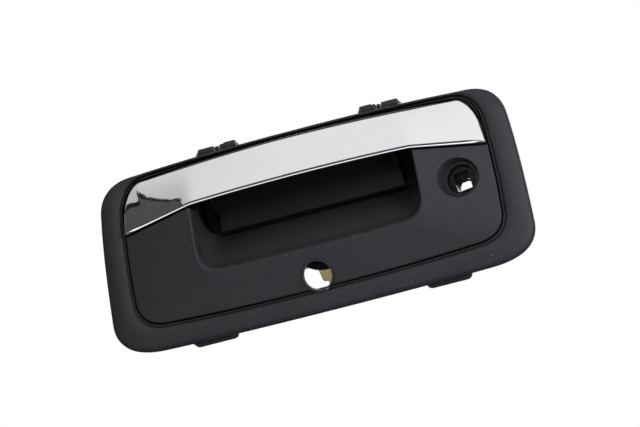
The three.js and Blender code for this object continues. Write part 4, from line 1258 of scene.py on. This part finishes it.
def floor(height, half):
    """Pale floor, which the camera sees but which adds no light to the part."""
    corners = [(-half, -half, height), (half, -half, height), (half, half, height), (-half, half, height)]
    made = mesh_object("floor", corners, [(0, 1, 2, 3)])
    made.data.materials.append(plain("pale_floor", 0.8, 0.7, glow=0.7))
    made.visible_glossy = False
    made.visible_diffuse = False


CENTRE = Vector((0, 0, PANEL_Z))
VIEW = {"azimuth": 13.61, "below": 17.06, "roll": 10.405, "distance": 5.5, "pixels_per_m": 1168.7}
IMAGE = (640, 427)
ORIGIN_PIXEL = (313.25, 220.1)


def towards(azimuth, elevation):
    """Unit vector from the part towards a place round it. Azimuth 0 is in front and 90 to its right."""
    a, e = math.radians(azimuth), math.radians(elevation)
    return Vector((math.sin(a) * math.cos(e), -math.cos(a) * math.cos(e), math.sin(e)))


def camera():
    """Camera at the photograph's angle, shifted so that the part's middle falls at ORIGIN_PIXEL."""
    back = towards(VIEW["azimuth"], -VIEW["below"])
    level = Vector((0, 0, 1)).cross(back).normalized()
    upright = back.cross(level)
    roll = math.radians(VIEW["roll"])
    right = math.cos(roll) * level - math.sin(roll) * upright
    up = math.sin(roll) * level + math.cos(roll) * upright
    data = bpy.data.cameras.new("camera")
    data.sensor_width = 36
    data.lens = VIEW["pixels_per_m"] * VIEW["distance"] * data.sensor_width / IMAGE[0]
    data.clip_end = 100
    made = linked("camera", data)
    aside = (IMAGE[0] / 2 - ORIGIN_PIXEL[0]) / VIEW["pixels_per_m"]
    above = (ORIGIN_PIXEL[1] - IMAGE[1] / 2) / VIEW["pixels_per_m"]
    place = CENTRE + back * VIEW["distance"] + right * aside + up * above
    made.matrix_world = Matrix.Translation(place) @ Matrix((right, up, back)).transposed().to_4x4()
    bpy.context.scene.camera = made


def softbox(name, azimuth, elevation, distance, width, height, radiance, mirrored=True):
    """Rectangular light that faces the part. One that isn't mirrored doesn't show in glossy surfaces."""
    data = bpy.data.lights.new(name, "AREA")
    data.shape = "RECTANGLE"
    data.size, data.size_y = width, height
    data.energy = radiance * math.pi * width * height
    made = linked(name, data)
    away = towards(azimuth, elevation)
    made.location = CENTRE + away * distance
    made.rotation_mode = "QUATERNION"
    made.rotation_quaternion = away.to_track_quat("Z", "Y")
    made.visible_glossy = mirrored


# Edges of the sheets round the part, as azimuth and elevation: a card hides the diffuser's left part.
DIFFUSER_EDGE = [(-80, 14), (40, 14)]
CARD_EDGE = [
    (-80, 23), (-64, 25.7), (-58.5, 26.8), (-57, 27.6), (-56.5, 28.6), (-56.3, 32), (-56, 31.2),
    (-55.7, 32.4), (-55.3, 30.8), (-54.6, 32.6), (-54, 30.6), (-53.2, 31.4), (-52.2, 27.5),
    (-50.6, 25), (-48.8, 21.5), (-47, 16),
]


def curved_screen(name, radius, edge, rows, material):
    """Sheet bent round the part at one distance, seen in reflections alone. rows gives its elevations."""
    azimuths = sorted({*np.linspace(edge[0][0], edge[-1][0], 31), *(row[0] for row in edge)})
    verts = []
    for azimuth in azimuths:
        elevations = rows(np.interp(azimuth, *zip(*edge)))
        verts += [tuple(CENTRE + towards(azimuth, elevation) * radius) for elevation in elevations]
    count = len(verts) // len(azimuths)
    faces = []
    for i in range(len(azimuths) - 1):
        for j in range(count - 1):
            corner = i * count + j
            faces.append((corner, corner + count, corner + count + 1, corner + 1))
    made = mesh_object(name, verts, faces)
    made.data.materials.append(material)
    made.visible_camera = False
    made.visible_diffuse = False
    made.visible_shadow = False


def diffuser():
    """Glowing cloth that dims towards its left end."""
    material, _, fill, node = shader_nodes("diffuser")
    across = node("ShaderNodeSeparateXYZ", {0: place_of(node)}).outputs["X"]
    dimmed = [between(node, across, 0.64, 1, -1.2, -0.5), between(node, across, 0.8, 0.9, -0.6, 0.4)]
    glow = node("ShaderNodeEmission", {"Strength": maths(node, *dimmed, "MULTIPLY")})
    fill(material.node_tree.nodes["Material Output"], {"Surface": glow.outputs[0]})
    return material


def surroundings(seen, strength):
    """White background as the camera sees it, and a dim, even room as the part sees it."""
    world = bpy.data.worlds.new("studio")
    bpy.context.scene.world = world
    world.use_nodes = True
    world.node_tree.nodes.clear()
    _, node = node_kit(world.node_tree)
    choice = {0: node("ShaderNodeLightPath").outputs["Is Camera Ray"]}
    for slot, power in ((1, strength), (2, seen)):
        choice[slot] = node("ShaderNodeBackground", {"Color": (1, 1, 1, 1), "Strength": power}).outputs[0]
    chosen = node("ShaderNodeMixShader", choice).outputs[0]
    node("ShaderNodeOutputWorld", {"Surface": chosen})


camera()
floor(-1.8, 10)
surroundings(seen=1.0, strength=0.07)
curved_screen("diffuser", 2.2, DIFFUSER_EDGE, lambda low: np.linspace(low, 76, 9), diffuser())
card_grey, rim_black = plain("card_grey", 0.005, 0.9, glow=0.062), plain("rim_black", 0.005, 0.9)
curved_screen("card", 0.35, CARD_EDGE, lambda high: (0, high), card_grey)
curved_screen("card_rim", 0.345, CARD_EDGE, lambda high: (high - 1.6, high), rim_black)
softbox("key_softbox", 60, 0, 1.2, 0.84, 0.84, 3)
softbox("low_fill", 34, -38, 2.2, 2.4, 1.0, 1.1, mirrored=False)
softbox("top_fill", 30, 64, 2.2, 1.6, 1.6, 0.25, mirrored=False)
softbox("lip_strip", -6, -33, 2.4, 3.4, 0.5, 1.2)
softbox("back_softbox", 195, 28, 2.4, 2.4, 2.0, 2.4)
bpy.context.scene.view_settings.view_transform = "Standard"
